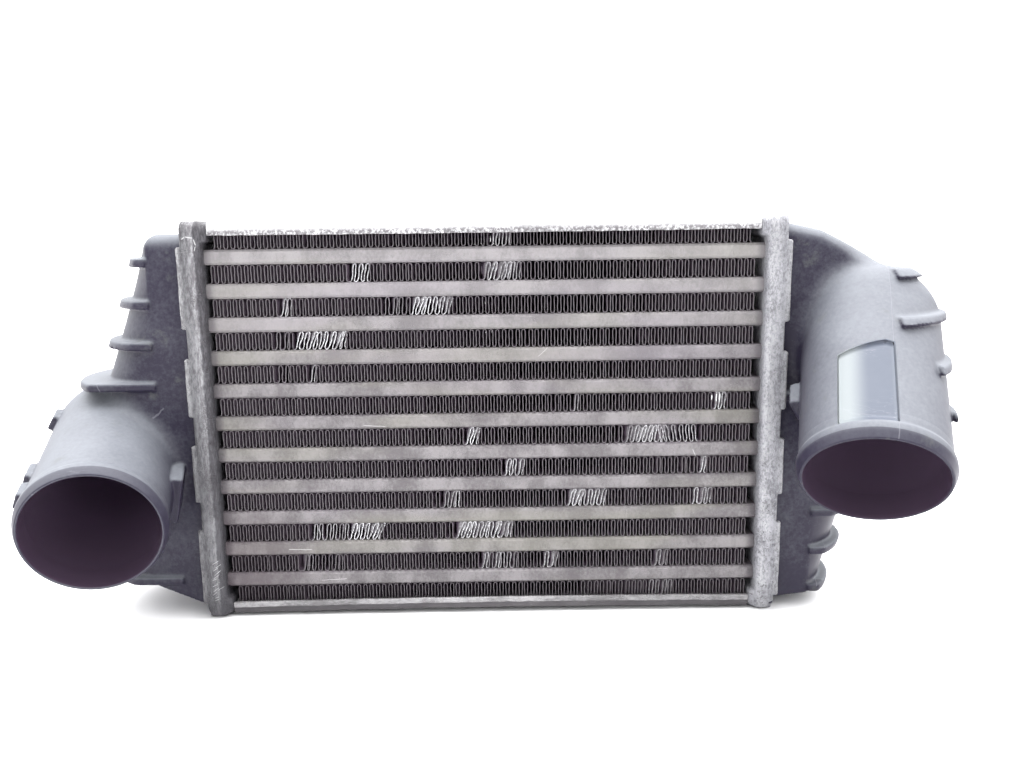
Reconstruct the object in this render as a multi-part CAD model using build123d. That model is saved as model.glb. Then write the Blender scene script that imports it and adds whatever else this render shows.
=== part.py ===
"""Charge-air intercooler: brazed aluminium core between two moulded plastic tanks.

Frame while building: X across the core (0 at mid-width), Y front to back (0 at the front edge of the
tubes), Z up (0 at the underside of the lowest tube). The finished pieces are moved together so that the
origin ends at the centre of the footprint, on the surface that the intercooler stands on.
"""
from build123d import *
from dataclasses import dataclass
import math
import os

# ---------------------------------------------------------------- core
CORE_WIDTH = 260.0          # between the two header faces
TUBE_COUNT = 11
TUBE_HEIGHT = 7.0
TUBE_DEPTH = 62.0           # front to back
TUBE_WALL = 0.9
TUBE_EDGE = 1.1             # chamfer along the tube's four outer edges
TUBE_REACH = 3.4            # how far a tube runs past the header face, into the tank
FIN_HEIGHT = 8.8            # air gap between two tubes
FIN_SHEET = 0.22            # thickness of the folded strip
FIN_PITCH = 4.1             # one full fold of the strip
FIN_RECESS = 0.8            # strip set back from the tubes' front and back edges
FIN_END_GAP = 3.8           # bare tube between header and first fold
OUTER_FIN_END_GAP = 6.2     # the same in the two outermost rows
INNER_STRIP_SHEET = 0.4     # turbulator inside each tube
INNER_STRIP_PITCH = 12.0

# ---------------------------------------------------------------- headers
HEADER_SHEET = 1.5
HEADER_OVERHANG = 5.0       # header in front of and behind the tubes
HEADER_END_MARGIN = 13.2    # header above the stack of tubes
HEADER_FOOT_MARGIN = 15.0   # header below it, down to what the core stands on
HEADER_RIM = 9.2            # depth of the tray's rim
HEADER_FOLD_RADIUS = 2.6    # fold between floor and rim
HEADER_CORNER_RADIUS = 5.0
HEADER_END_BULGE = 2.4      # pressed-out pad at each end of the floor
HEADER_BULGE_SPAN = 10.0
HEADER_BULGE_EDGE = 1.4     # chamfer round the pad
TAB_STEP = 2.2              # how far a crimp tab stands past the rim
TAB_LIP = 2.0               # part of a tab folded over the tank foot
TAB_FIRST = 8.2             # lower end of the lowest tab, above the header's end
TAB_LONG = 37.8
TAB_SHORT = 27.8
TAB_GAP = 14.0
END_TAB_WIDTH = 34.0

# ---------------------------------------------------------------- side plates
PLATE_SHEET = 1.5
PLATE_FRONT_REACH = 2.0     # plate edge in front of the tubes
PLATE_LIP = 2.2             # lip turned in over the fins
PLATE_LIP_SHEET = 2.0
PLATE_FLANGE_SHEET = 1.4
PLATE_EDGE_BREAK = 0.5      # broken edges of the lip; the flange stands this far behind it

# ---------------------------------------------------------------- tanks
TANK_WALL = 2.6
FOOT_HEIGHT = 6.1           # along X, from gasket to crimp
FOOT_OPENING_MARGIN = 3.0   # opening in the foot above and below the stack of tubes
FRONT_FACE_WIDTH = 27.5     # from header face to where the flat front turns into the rounded side
BODY_INSET = 1.0            # tank front face behind the tubes' front edges
RIB_PITCH = 19.5
RIB_THICKNESS = 4.0
RIB_HEIGHT = 5.0            # on the rounded side
RIB_FACE_HEIGHT = 1.8       # where a rib ends on the flat face
RIB_STUB_HEIGHT = 3.5       # short piece of rib on the flat face
GASKET_THICKNESS = 2.2
GASKET_WIDTH = 2.8

COLLAR_HEIGHT = 13.0        # the collar over the left spigot stands out further than a rib
ROOF_RADIUS = 7.0
ROOF_RISE = 0.85            # a face that looks up by more than this is a roof

# ---------------------------------------------------------------- hose spigots
BORE_RADIUS = 28.5
SPIGOT_WALL = 2.0
BEAD_HEIGHT = 1.0
BEAD_START = 4.0            # bead crest behind the mouth
BEAD_WIDTH = 3.2
BEAD_RUNOUT = 2.2
LIP_THICKNESS = 1.1
SPIGOT_RIB_HEIGHT = 2.6
BORE_END_RADIUS = 16.0      # the bore closes in a cone inside the dome
BORE_END_LENGTH = 22.0

# ---------------------------------------------------------------- fits
SLOT_CLEARANCE = 0.1
BRAZE_GAP = 0.03
SEAT_CLEARANCE = 0.1
CUT_MARGIN = 1.0            # how far a cutting shape runs past a face


@dataclass(frozen=True)
class Tank:
    """What differs between the two tanks.

    A name with "out" is a distance from the crease, where the flat front turns into the rounded side.
    Heights are from the underside of the lowest tube, and rungs count the places for ribs upwards.
    """
    side: int               # -1 left, +1 right
    dome_out: float         # centre of the spigot's domed end
    dome_share: float       # the same, behind the tubes' front edges, as a share of their depth
    dome_height: float
    outward: tuple          # direction the spigot points in
    spigot_length: float    # centre of the domed end to the mouth
    low_out: float          # the rounded side at the header's lower end
    bend_height: float      # height where the side bends
    bend_out: float
    high_out: float         # the rounded side at the header's upper end
    roof: tuple             # height above the tubes at the header, drop per mm out, the same past the crease
    floor: tuple            # depth below the tubes at the header, rise per mm out, the same past the crease
    lowest_rib: float       # height of rung 0
    ribs: tuple             # (rung, distance out where the rib starts)
    collar_rung: int        # rung of the wide collar, or -1 for none
    stub_rung: int          # rung of the short piece on the flat face, or -1 for none
    pads: tuple             # (bearing, width, near end, far end, height, slant) on the spigot's barrel


LEFT = Tank(
    side=-1,
    dome_out=33.6,
    dome_share=0.515,
    dome_height=68.5,
    outward=(-0.236, -0.940, -0.265),
    spigot_length=86.0,
    low_out=33.0,
    bend_height=101.0,
    bend_out=33.0,
    high_out=3.7,
    roof=(7.4, 0.0, 0.0),
    floor=(15.0, 0.43, 0.43),
    lowest_rib=3.4,
    ribs=((0, -5.5), (6, 0.0), (7, 0.0), (8, 0.0)),
    collar_rung=5,
    stub_rung=-1,
    pads=((191.0, 24.0, 30.0, 69.0, 3.4, 0.0), (20.0, 9.0, 28.0, 40.0, 2.6, 0.0),
          (20.0, 8.0, 13.0, 24.0, 2.6, 0.0), (30.0, 8.0, 76.0, 86.0, 2.6, 0.0)),
)
RIGHT = Tank(
    side=1,
    dome_out=24.7,
    dome_share=0.052,
    dome_height=123.8,
    outward=(-0.243, -0.735, -0.634),
    spigot_length=88.0,
    low_out=9.9,
    bend_height=110.0,
    bend_out=47.5,
    high_out=31.0,
    roof=(11.7, 0.22, 0.48),
    floor=(11.7, 0.12, 0.12),
    lowest_rib=-5.2,
    ribs=((0, 0.0), (1, 0.0), (2, 0.0), (3, 0.0), (4, 0.0), (5, 39.5), (6, 40.0), (7, 21.0), (8, 28.0)),
    collar_rung=-1,
    stub_rung=5,
    pads=((105.0, 25.5, 8.0, 55.0, 0.5, 8.0), (200.0, 14.0, 44.0, 56.0, 4.5, 0.0)),
)

tube_pitch = TUBE_HEIGHT + FIN_HEIGHT
stack_height = TUBE_COUNT * TUBE_HEIGHT + (TUBE_COUNT - 1) * FIN_HEIGHT
half_core = CORE_WIDTH / 2
mid_depth = TUBE_DEPTH / 2
header_depth = TUBE_DEPTH + 2 * HEADER_OVERHANG
header_bottom = -HEADER_FOOT_MARGIN
header_top = stack_height + HEADER_END_MARGIN
header_height = header_top - header_bottom
header_middle = (header_top + header_bottom) / 2
rim_edge = half_core + HEADER_RIM
tab_edge = rim_edge + TAB_STEP
gasket_face = half_core + HEADER_SHEET + GASKET_THICKNESS
foot_face = gasket_face + FOOT_HEIGHT
foot_middle = gasket_face + FOOT_HEIGHT / 2
crease = half_core + FRONT_FACE_WIDTH
half_round = mid_depth - BODY_INSET
spigot_radius = BORE_RADIUS + SPIGOT_WALL
bead_radius = spigot_radius + BEAD_HEIGHT
bead_end = BEAD_START + BEAD_WIDTH


def box(x, y, z):
    """A box from (low, high) pairs along each axis."""
    size = (x[1] - x[0], y[1] - y[0], z[1] - z[0])
    return Pos((x[0] + x[1]) / 2, (y[0] + y[1]) / 2, (z[0] + z[1]) / 2) * Box(*size)


def mirrored(shape, side):
    """The shape as drawn for the right side, or its mirror image for the left."""
    return shape if side > 0 else mirror(shape, about=Plane.YZ)


# ---------------------------------------------------------------- tubes, fins and turbulators
def tube_section(height, depth, edge):
    """A flat tube's outline in the plane across X."""
    outline = Rectangle(depth, height)
    return chamfer(outline.vertices(), edge) if edge > 0 else outline


def tube_centre(index):
    """Height of the middle of a tube, counted from the top."""
    return stack_height - TUBE_HEIGHT / 2 - index * tube_pitch


def charge_tube(index):
    half_length = half_core + TUBE_REACH
    ring = tube_section(TUBE_HEIGHT, TUBE_DEPTH, TUBE_EDGE)
    ring -= tube_section(TUBE_HEIGHT - 2 * TUBE_WALL, TUBE_DEPTH - 2 * TUBE_WALL, 0)
    section = Plane.YZ.offset(-half_length) * Pos(mid_depth, tube_centre(index)) * ring
    return extrude(section, 2 * half_length)


def folded_strip(length, height, sheet, pitch):
    """Outline of a strip folded to and fro: a zigzag of constant thickness, centred on the origin."""
    folds = max(2, round(length / pitch) * 2)
    step = length / folds
    slope = math.hypot(step, height) / step
    rise = sheet * slope
    upper = []
    lower = []
    for fold in range(folds + 1):
        x = -length / 2 + fold * step
        crest = fold % 2 == 1
        upper.append((x, height / 2 if crest else -height / 2 + rise))
        lower.append((x, height / 2 - rise if crest else -height / 2))
    return make_face(Polyline(*upper, *reversed(lower), close=True))


def turbulator(index):
    depth = TUBE_DEPTH - 2 * TUBE_WALL - 2 * SEAT_CLEARANCE
    height = TUBE_HEIGHT - 2 * TUBE_WALL - 2 * BRAZE_GAP
    half_length = half_core + TUBE_REACH - SEAT_CLEARANCE
    outline = folded_strip(depth, height, INNER_STRIP_SHEET, INNER_STRIP_PITCH)
    section = Plane.YZ.offset(-half_length) * Pos(mid_depth, tube_centre(index)) * outline
    return extrude(section, 2 * half_length)


def air_fin(row):
    """A row of folded strip; row 0 lies above the top tube and the last one below the lowest."""
    outer_row = row in (0, TUBE_COUNT)
    end_gap = OUTER_FIN_END_GAP if outer_row else FIN_END_GAP
    middle = stack_height + FIN_HEIGHT / 2 - row * tube_pitch
    outline = folded_strip(CORE_WIDTH - 2 * end_gap, FIN_HEIGHT - 2 * BRAZE_GAP, FIN_SHEET, FIN_PITCH)
    section = Plane.XZ.offset(-FIN_RECESS) * Pos(0, middle) * outline
    return extrude(section, -(TUBE_DEPTH - 2 * FIN_RECESS))


# ---------------------------------------------------------------- headers
def header_block(inset, low, high):
    """The tray's outline, inset all round, between two distances from the middle of the core."""
    outline = RectangleRounded(
        header_depth - 2 * inset, header_height - 2 * inset, HEADER_CORNER_RADIUS - inset
    )
    section = Plane.YZ.offset(low) * Pos(mid_depth, header_middle) * outline
    return extrude(section, high - low)


def tab_spans():
    """Lower and upper ends of the crimp tabs along one long side of the header."""
    spans = []
    start = header_bottom + TAB_FIRST
    for length in (TAB_LONG, TAB_SHORT, TAB_SHORT, TAB_LONG):
        spans.append((start, start + length))
        start += length + TAB_GAP
    return spans


def header_plate(side):
    """Drawn tray: floor with a slot for each tube, rim all round, crimp tabs folded over the tank foot."""
    tray = header_block(0, half_core, rim_edge)
    tray = fillet(tray.faces().sort_by(Axis.X)[0].edges(), HEADER_FOLD_RADIUS)
    for low in (header_bottom, header_top - HEADER_BULGE_SPAN):
        pad = header_block(HEADER_FOLD_RADIUS, half_core - HEADER_END_BULGE, half_core + HEADER_SHEET)
        slab = box((half_core - HEADER_END_BULGE, half_core + HEADER_SHEET),
                   (-HEADER_OVERHANG, TUBE_DEPTH + HEADER_OVERHANG), (low, low + HEADER_BULGE_SPAN))
        tray += chamfer((pad & slab).faces().sort_by(Axis.X)[0].edges(), HEADER_BULGE_EDGE)
    tray -= header_block(HEADER_SHEET, half_core + HEADER_SHEET, rim_edge)
    lip_inner = foot_face + SEAT_CLEARANCE
    tabs = header_block(0, rim_edge, tab_edge)
    tabs -= header_block(HEADER_SHEET, rim_edge, lip_inner)
    tabs -= header_block(HEADER_SHEET + TAB_LIP, rim_edge, tab_edge)
    kept = []
    for low, high in tab_spans():
        kept.append(box((rim_edge, tab_edge), (-HEADER_OVERHANG, TUBE_DEPTH + HEADER_OVERHANG), (low, high)))
    middle_band = (mid_depth - END_TAB_WIDTH / 2, mid_depth + END_TAB_WIDTH / 2)
    kept.append(box((rim_edge, tab_edge), middle_band, (header_bottom, header_top)))
    for band in kept:
        tray += tabs & band
    slot = tube_section(TUBE_HEIGHT + 2 * SLOT_CLEARANCE, TUBE_DEPTH + 2 * SLOT_CLEARANCE, TUBE_EDGE)
    slot_run = HEADER_SHEET + 2 * HEADER_END_BULGE
    for index in range(TUBE_COUNT):
        section = Plane.YZ.offset(half_core - HEADER_END_BULGE) * Pos(mid_depth, tube_centre(index)) * slot
        tray -= extrude(section, slot_run)
    return mirrored(tray, side)


def gasket(side):
    inset = HEADER_SHEET + SEAT_CLEARANCE
    ring = header_block(inset, half_core + HEADER_SHEET, gasket_face)
    ring -= header_block(inset + GASKET_WIDTH, half_core + HEADER_SHEET, gasket_face)
    return mirrored(ring, side)


# ---------------------------------------------------------------- side plates
def side_plate(end):
    """Channel plate brazed on the outermost fins; end is +1 for the top and -1 for the bottom."""
    web_face = FIN_HEIGHT
    web_back = web_face + PLATE_SHEET
    lip_tip = web_face - PLATE_LIP
    front = -PLATE_FRONT_REACH
    flange = front + PLATE_EDGE_BREAK
    half = [
        (front + PLATE_LIP_SHEET, web_face),
        (front + PLATE_LIP_SHEET, lip_tip),
        (flange, lip_tip),
        (front, lip_tip + PLATE_EDGE_BREAK),
        (front, web_back - PLATE_EDGE_BREAK),
        (flange, web_back),
        (flange, HEADER_END_MARGIN),
        (flange + PLATE_FLANGE_SHEET, HEADER_END_MARGIN),
        (flange + PLATE_FLANGE_SHEET, web_back),
    ]
    reflected = [(2 * mid_depth - y, z) for y, z in reversed(half)]
    base = stack_height if end > 0 else 0.0
    points = [(y, base + end * z) for y, z in half + reflected]
    half_length = half_core - HEADER_END_BULGE - SEAT_CLEARANCE
    section = Plane.YZ.offset(-half_length) * make_face(Polyline(*points, close=True))
    return extrude(section, 2 * half_length)


# ---------------------------------------------------------------- tanks
def side_levels(tank):
    """(height, reach along X) of the rounded side, from bottom to top.

    A level is added where the side is just a half round: closer in it meets the flats at the crease, and
    further out the flats run on to meet a half round.
    """
    given = [(header_bottom, tank.low_out), (tank.bend_height, tank.bend_out), (header_top, tank.high_out)]
    levels = [given[0]]
    for (low, low_out), (high, high_out) in zip(given, given[1:]):
        if min(low_out, high_out) < half_round < max(low_out, high_out):
            share = (half_round - low_out) / (high_out - low_out)
            levels.append((low + share * (high - low), half_round))
        levels.append((high, high_out))
    return [(z, crease + out) for z, out in levels]


def reach_at(tank, z):
    """Reach of the rounded side at a height."""
    levels = side_levels(tank)
    for (low, low_reach), (high, high_reach) in zip(levels, levels[1:]):
        if z <= high:
            break
    share = (z - low) / (high - low)
    return low_reach + share * (high_reach - low_reach)


def rung_height(tank, rung):
    return tank.lowest_rib + rung * RIB_PITCH


def plan_section(front, apex, root):
    """Plan of a tank at one height: flat front and back faces, then an arc out to the apex."""
    back = 2 * mid_depth - front
    start = max(crease, apex - (mid_depth - front))
    outline = Polyline((start, front), (root, front), (root, back), (start, back))
    outline += ThreePointArc((start, back), (apex, mid_depth), (start, front))
    return make_face(outline)


def end_cut(start, slope, far_slope, up):
    """Everything beyond a roof (up) or floor: it falls away at one slope to the crease, then at another."""
    sign = -1 if up else 1
    far = half_core + 2 * header_depth
    reach = header_height if up else -header_height
    turn = start + sign * slope * (crease - half_core)
    end = turn + sign * far_slope * (far - crease)
    bend = [(crease, turn)] if slope != far_slope else []
    cut = make_face(Polyline(
        (half_core, start), *bend, (far, end), (far, end + reach), (half_core, start + reach), close=True))
    return extrude(Plane.XZ.offset(-2 * header_depth) * cut, 3 * header_depth)


def tank_box(tank, wall, root):
    """The tank's outside, or its hollow if a wall is given: plan sections joined from level to level."""
    sections = [Plane.XY.offset(z) * plan_section(BODY_INSET + wall, reach - wall, root)
                for z, reach in side_levels(tank)]
    roof, *roof_slopes = tank.roof
    floor, *floor_slopes = tank.floor
    tall = loft(sections, ruled=True) - end_cut(stack_height + roof - wall, *roof_slopes, True)
    return tall - end_cut(wall - floor, *floor_slopes, False)


def tank_outside(tank):
    """The tank's box with a rounded edge round its roof."""
    body = tank_box(tank, 0, foot_middle)
    edges = []
    for roof in body.faces().filter_by(lambda face: face.normal_at().Z > ROOF_RISE):
        for edge in roof.edges():
            if edge.center().X > foot_face and not any(edge.is_same(other) for other in edges):
                edges.append(edge)
    return fillet(edges, ROOF_RADIUS)


def spigot_frame(tank):
    """Frame at the spigot's mouth: Z out of the mouth, X level and away from the core."""
    out_x, out_y, _ = tank.outward
    dome = Vector(crease + tank.dome_out, tank.dome_share * TUBE_DEPTH, tank.dome_height)
    mouth = dome + Vector(*tank.outward).normalized() * tank.spigot_length
    return Plane(origin=mouth, x_dir=(-out_y, out_x, 0), z_dir=tank.outward)


def spigot_outside(tank):
    """Straight barrel with a hose bead near the mouth and a domed end inside the tank."""
    lip = BORE_RADIUS + LIP_THICKNESS
    profile = Polyline(
        (0, 0), (lip, 0), (bead_radius, -BEAD_START), (bead_radius, -bead_end),
        (spigot_radius, -bead_end - BEAD_RUNOUT), (spigot_radius, -tank.spigot_length),
        (0, -tank.spigot_length), close=True,
    )
    barrel = revolve(Plane.XZ * make_face(profile), Axis.Z)
    dome = Pos(0, 0, -tank.spigot_length) * Sphere(spigot_radius)
    return spigot_frame(tank) * (barrel + dome)


def ribbed_barrel(tank):
    """The barrel and its dome, grown by the height of the ribs round them."""
    radius = spigot_radius + SPIGOT_RIB_HEIGHT
    barrel = Pos(0, 0, -tank.spigot_length / 2) * Cylinder(radius, tank.spigot_length)
    return spigot_frame(tank) * (barrel + Pos(0, 0, -tank.spigot_length) * Sphere(radius))


def spigot_bore(tank):
    """Plain bore from the mouth, closed by a cone inside the dome."""
    bore = Pos(0, 0, -tank.spigot_length / 2) * Cylinder(BORE_RADIUS, tank.spigot_length)
    end = Cone(BORE_END_RADIUS, BORE_RADIUS, BORE_END_LENGTH)
    end = Pos(0, 0, -tank.spigot_length - BORE_END_LENGTH / 2) * end
    return spigot_frame(tank) * (bore + end)


def raised_pad(tank, pad):
    """A pad moulded on the spigot's barrel, with its sides running straight outwards."""
    bearing, width, near, far, height, slant = pad
    root = spigot_radius - SPIGOT_WALL / 2
    top = spigot_radius + height
    block = Pos((root + top) / 2, 0, -(near + far) / 2) * Box(top - root, width, far - near)
    block = Rot(0, 0, bearing) * block
    ring = Cylinder(top, 4 * far) - Cylinder(root, 4 * far)
    if slant:
        block -= Rot(0, 0, bearing) * Pos(top, 0, -far) * Rot(slant, 0, 0) * Pos(0, 0, -far) * Box(
            top, 3 * width, 2 * far)
    return spigot_frame(tank) * (block & ring)


def rib(tank, rung, start, height, barrel):
    """A level rib round the tank's rounded side from a start along X, and round the barrel if given."""
    z = rung_height(tank, rung)
    low = z - RIB_THICKNESS / 2
    outline = plan_section(BODY_INSET - RIB_FACE_HEIGHT, reach_at(tank, z) + height, foot_face)
    plate = extrude(Plane.XY.offset(low) * outline, RIB_THICKNESS)
    far = crease + tank.bend_out + spigot_radius + COLLAR_HEIGHT
    if barrel is not None:
        plate += barrel & box((foot_face, far), (-header_depth, header_depth), (low, low + RIB_THICKNESS))
    return plate & box((start, far), (-header_depth, header_depth), (low, low + RIB_THICKNESS))


def tank_shell(tank):
    """Moulded tank: foot, duct with rounded side, spigot, ribs and pads, hollow throughout."""
    body = tank_outside(tank) + spigot_outside(tank)
    barrel = ribbed_barrel(tank)
    highest = stack_height + tank.roof[0] - ROOF_RADIUS
    for rung, out in tank.ribs:
        if rung_height(tank, rung) < highest:
            body += rib(tank, rung, crease + out, RIB_HEIGHT, barrel if out > TANK_WALL else None)
    if tank.collar_rung >= 0:
        body += rib(tank, tank.collar_rung, crease, COLLAR_HEIGHT, None)
    if tank.stub_rung >= 0:
        z = rung_height(tank, tank.stub_rung)
        body += box((tab_edge + SEAT_CLEARANCE, crease),
                    (BODY_INSET - RIB_STUB_HEIGHT, BODY_INSET + TANK_WALL),
                    (z - RIB_THICKNESS / 2, z + RIB_THICKNESS / 2))
    for pad in tank.pads:
        body += raised_pad(tank, pad)
    body += header_block(HEADER_SHEET + SEAT_CLEARANCE, gasket_face, foot_face)
    body -= tank_box(tank, TANK_WALL, gasket_face - CUT_MARGIN)
    body -= spigot_bore(tank)
    body -= box((gasket_face, foot_middle), (0, TUBE_DEPTH),
                (-FOOT_OPENING_MARGIN, stack_height + FOOT_OPENING_MARGIN))
    return mirrored(body, tank.side)


# ---------------------------------------------------------------- assembly
def build():
    """Every piece by name, in the building frame."""
    pieces = {
        "tank_left": tank_shell(LEFT),
        "tank_right": tank_shell(RIGHT),
        "header_plate_left": header_plate(-1),
        "header_plate_right": header_plate(1),
        "gasket_left": gasket(-1),
        "gasket_right": gasket(1),
        "side_plate_top": side_plate(1),
        "side_plate_bottom": side_plate(-1),
    }
    for index in range(TUBE_COUNT):
        pieces[f"charge_tube_{index + 1:02d}"] = charge_tube(index)
        pieces[f"turbulator_{index + 1:02d}"] = turbulator(index)
    for row in range(TUBE_COUNT + 1):
        pieces[f"air_fin_{row + 1:02d}"] = air_fin(row)
    return pieces


def footprint_origin(pieces):
    """Centre of the footprint, at the height of the lowest point."""
    boxes = [piece.bounding_box() for piece in pieces.values()]
    middle_x = (min(b.min.X for b in boxes) + max(b.max.X for b in boxes)) / 2
    middle_y = (min(b.min.Y for b in boxes) + max(b.max.Y for b in boxes)) / 2
    return Vector(middle_x, middle_y, min(b.min.Z for b in boxes))


if __name__ == "__main__":
    os.makedirs("parts", exist_ok=True)
    parts = build()
    origin = footprint_origin(parts)
    print("origin in the building frame:", origin)
    for name, piece in parts.items():
        export_step(Pos(-origin) * piece, f"parts/{name}.step")
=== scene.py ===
"""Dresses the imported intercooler: moulded tanks, folded fins, finishes, floor, light and camera."""
import logging
import math
import random
from dataclasses import dataclass, replace
from enum import Enum
from typing import Any, Callable, Iterable, Sequence

import bpy
import numpy as np
from mathutils import Matrix, Vector


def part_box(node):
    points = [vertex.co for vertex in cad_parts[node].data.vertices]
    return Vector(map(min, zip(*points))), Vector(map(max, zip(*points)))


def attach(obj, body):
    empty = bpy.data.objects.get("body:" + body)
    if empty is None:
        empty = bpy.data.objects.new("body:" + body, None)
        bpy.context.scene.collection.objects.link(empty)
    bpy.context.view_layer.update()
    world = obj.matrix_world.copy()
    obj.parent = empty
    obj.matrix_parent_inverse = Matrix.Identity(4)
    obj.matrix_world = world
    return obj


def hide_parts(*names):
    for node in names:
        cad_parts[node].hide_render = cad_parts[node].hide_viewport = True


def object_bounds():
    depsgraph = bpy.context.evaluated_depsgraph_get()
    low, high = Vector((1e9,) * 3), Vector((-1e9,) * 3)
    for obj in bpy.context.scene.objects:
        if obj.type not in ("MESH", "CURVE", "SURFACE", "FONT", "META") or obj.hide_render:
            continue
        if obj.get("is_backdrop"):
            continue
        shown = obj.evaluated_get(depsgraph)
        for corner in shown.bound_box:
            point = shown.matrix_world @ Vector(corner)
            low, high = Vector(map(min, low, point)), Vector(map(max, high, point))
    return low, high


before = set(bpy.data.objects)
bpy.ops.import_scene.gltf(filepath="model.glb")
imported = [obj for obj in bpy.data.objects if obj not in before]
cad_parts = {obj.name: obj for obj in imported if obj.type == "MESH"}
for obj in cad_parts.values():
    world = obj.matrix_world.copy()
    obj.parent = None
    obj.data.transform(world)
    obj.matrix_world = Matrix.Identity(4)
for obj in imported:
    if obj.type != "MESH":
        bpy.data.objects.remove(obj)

log = logging.getLogger("intercooler")
MM = 0.001
Field = Callable[[np.ndarray], np.ndarray]      # distance from a surface, negative inside it
Pair = tuple[float, float]
Triple = tuple[float, float, float]
Colour = tuple[float, float, float]             # red, green and blue, linear
Stops = tuple[tuple[float, Colour], ...]        # places on a ramp from 0 to 1, with their colours
Mark = tuple[Pair, Pair, float]                 # X and Z of a scratch's two ends, and its half-width, in mm


# ---------------------------------------------------------------- node trees
class Term:
    """A socket in a node tree that Python's operators work on."""

    def __init__(self, pen: "Pen", socket: bpy.types.NodeSocket) -> None:
        """Wrap a socket of the tree that the pen writes."""
        self.pen, self.socket = pen, socket

    def _math(self, operation: str, *values: Any) -> "Term":
        """Add a Math node on these values."""
        return self.pen.node("ShaderNodeMath", {"operation": operation}, dict(enumerate(values)))

    def __add__(self, other: Any) -> "Term":
        """Sum."""
        return self._math("ADD", self, other)

    __radd__ = __add__

    def __sub__(self, other: Any) -> "Term":
        """Difference."""
        return self._math("SUBTRACT", self, other)

    def __rsub__(self, other: Any) -> "Term":
        """Reflected difference."""
        return self._math("SUBTRACT", other, self)

    def __mul__(self, other: Any) -> "Term":
        """Product."""
        return self._math("MULTIPLY", self, other)

    __rmul__ = __mul__

    def __truediv__(self, other: Any) -> "Term":
        """Quotient."""
        return self._math("DIVIDE", self, other)

    def __pow__(self, other: Any) -> "Term":
        """Power."""
        return self._math("POWER", self, other)

    def sin(self) -> "Term":
        """Sine."""
        return self._math("SINE", self)

    def abs(self) -> "Term":
        """Absolute value."""
        return self._math("ABSOLUTE", self)

    def fraction(self) -> "Term":
        """The part past the whole number."""
        return self._math("FRACT", self)

    def most(self, other: Any) -> "Term":
        """The larger of two values."""
        return self._math("MAXIMUM", self, other)

    def least(self, other: Any) -> "Term":
        """The smaller of two values."""
        return self._math("MINIMUM", self, other)

    def ramp(self, low: float, high: float) -> "Term":
        """Smooth step between two values.

        Args:
            low: Where it is 0.
            high: Where it is 1, which may lie below low.

        Returns:
            The step.
        """
        flip = high < low
        settings = {"interpolation_type": "SMOOTHSTEP", "clamp": True}
        values = {"Value": self, "From Min": min(low, high), "From Max": max(low, high),
                  "To Min": 1.0 if flip else 0.0, "To Max": 0.0 if flip else 1.0}
        return self.pen.node("ShaderNodeMapRange", settings, values)


class Pen:
    """Writes nodes into one tree."""

    def __init__(self, tree: bpy.types.NodeTree) -> None:
        """Start writing in a tree."""
        self.tree = tree

    def node(self, kind: str, settings: dict[str, Any] | None = None,
             values: dict[Any, Any] | None = None, out: Any = 0) -> Term:
        """Add a node.

        Args:
            kind: The node's type.
            settings: Its properties, set first; "stops" holds a ramp's (place, colour) pairs.
            values: Values or links of its sockets, by name or number.
            out: The output to return, by name or number.

        Returns:
            The chosen output.
        """
        node = self.tree.nodes.new(kind)
        for name, value in (settings or {}).items():
            if name == "stops":
                ramp = node.color_ramp
                for place, _ in value[2:]:
                    ramp.elements.new(place)
                for element, (place, colour) in zip(ramp.elements, value):
                    element.position, element.color = place, (*colour, 1.0)
            else:
                setattr(node, name, value)
        for name, value in (values or {}).items():
            if isinstance(value, Term):
                self.tree.links.new(value.socket, node.inputs[name])
            else:
                node.inputs[name].default_value = value
        return Term(self, node.outputs[out])

    def mix(self, share: Any, first: Any, second: Any) -> Term:
        """Mix two colours by a share from 0 to 1."""
        return self.node("ShaderNodeMix", {"data_type": "RGBA"},
                         {0: share, 6: _colour(first), 7: _colour(second)}, out=2)

    def split(self, vector: Term) -> tuple[Term, Term, Term]:
        """Take a vector apart.

        Args:
            vector: The vector.

        Returns:
            Its three parts.
        """
        first = self.node("ShaderNodeSeparateXYZ", None, {0: vector})
        outs = first.socket.node.outputs
        return first, Term(self, outs[1]), Term(self, outs[2])


def _colour(value: Any) -> Any:
    """Give a bare colour its alpha."""
    return value if isinstance(value, Term) else (*value, 1.0)


SOOT_ACROSS: Pair = (-70.0, -126.0)     # from clean to sooty along X, in mm
SOOT_UP: Pair = (62.0, 8.0)             # the same along Z
LINE_STRETCH: Triple = (1.0, 1.0, 14.0)     # how much finer the pattern of fine lines is across them


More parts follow.
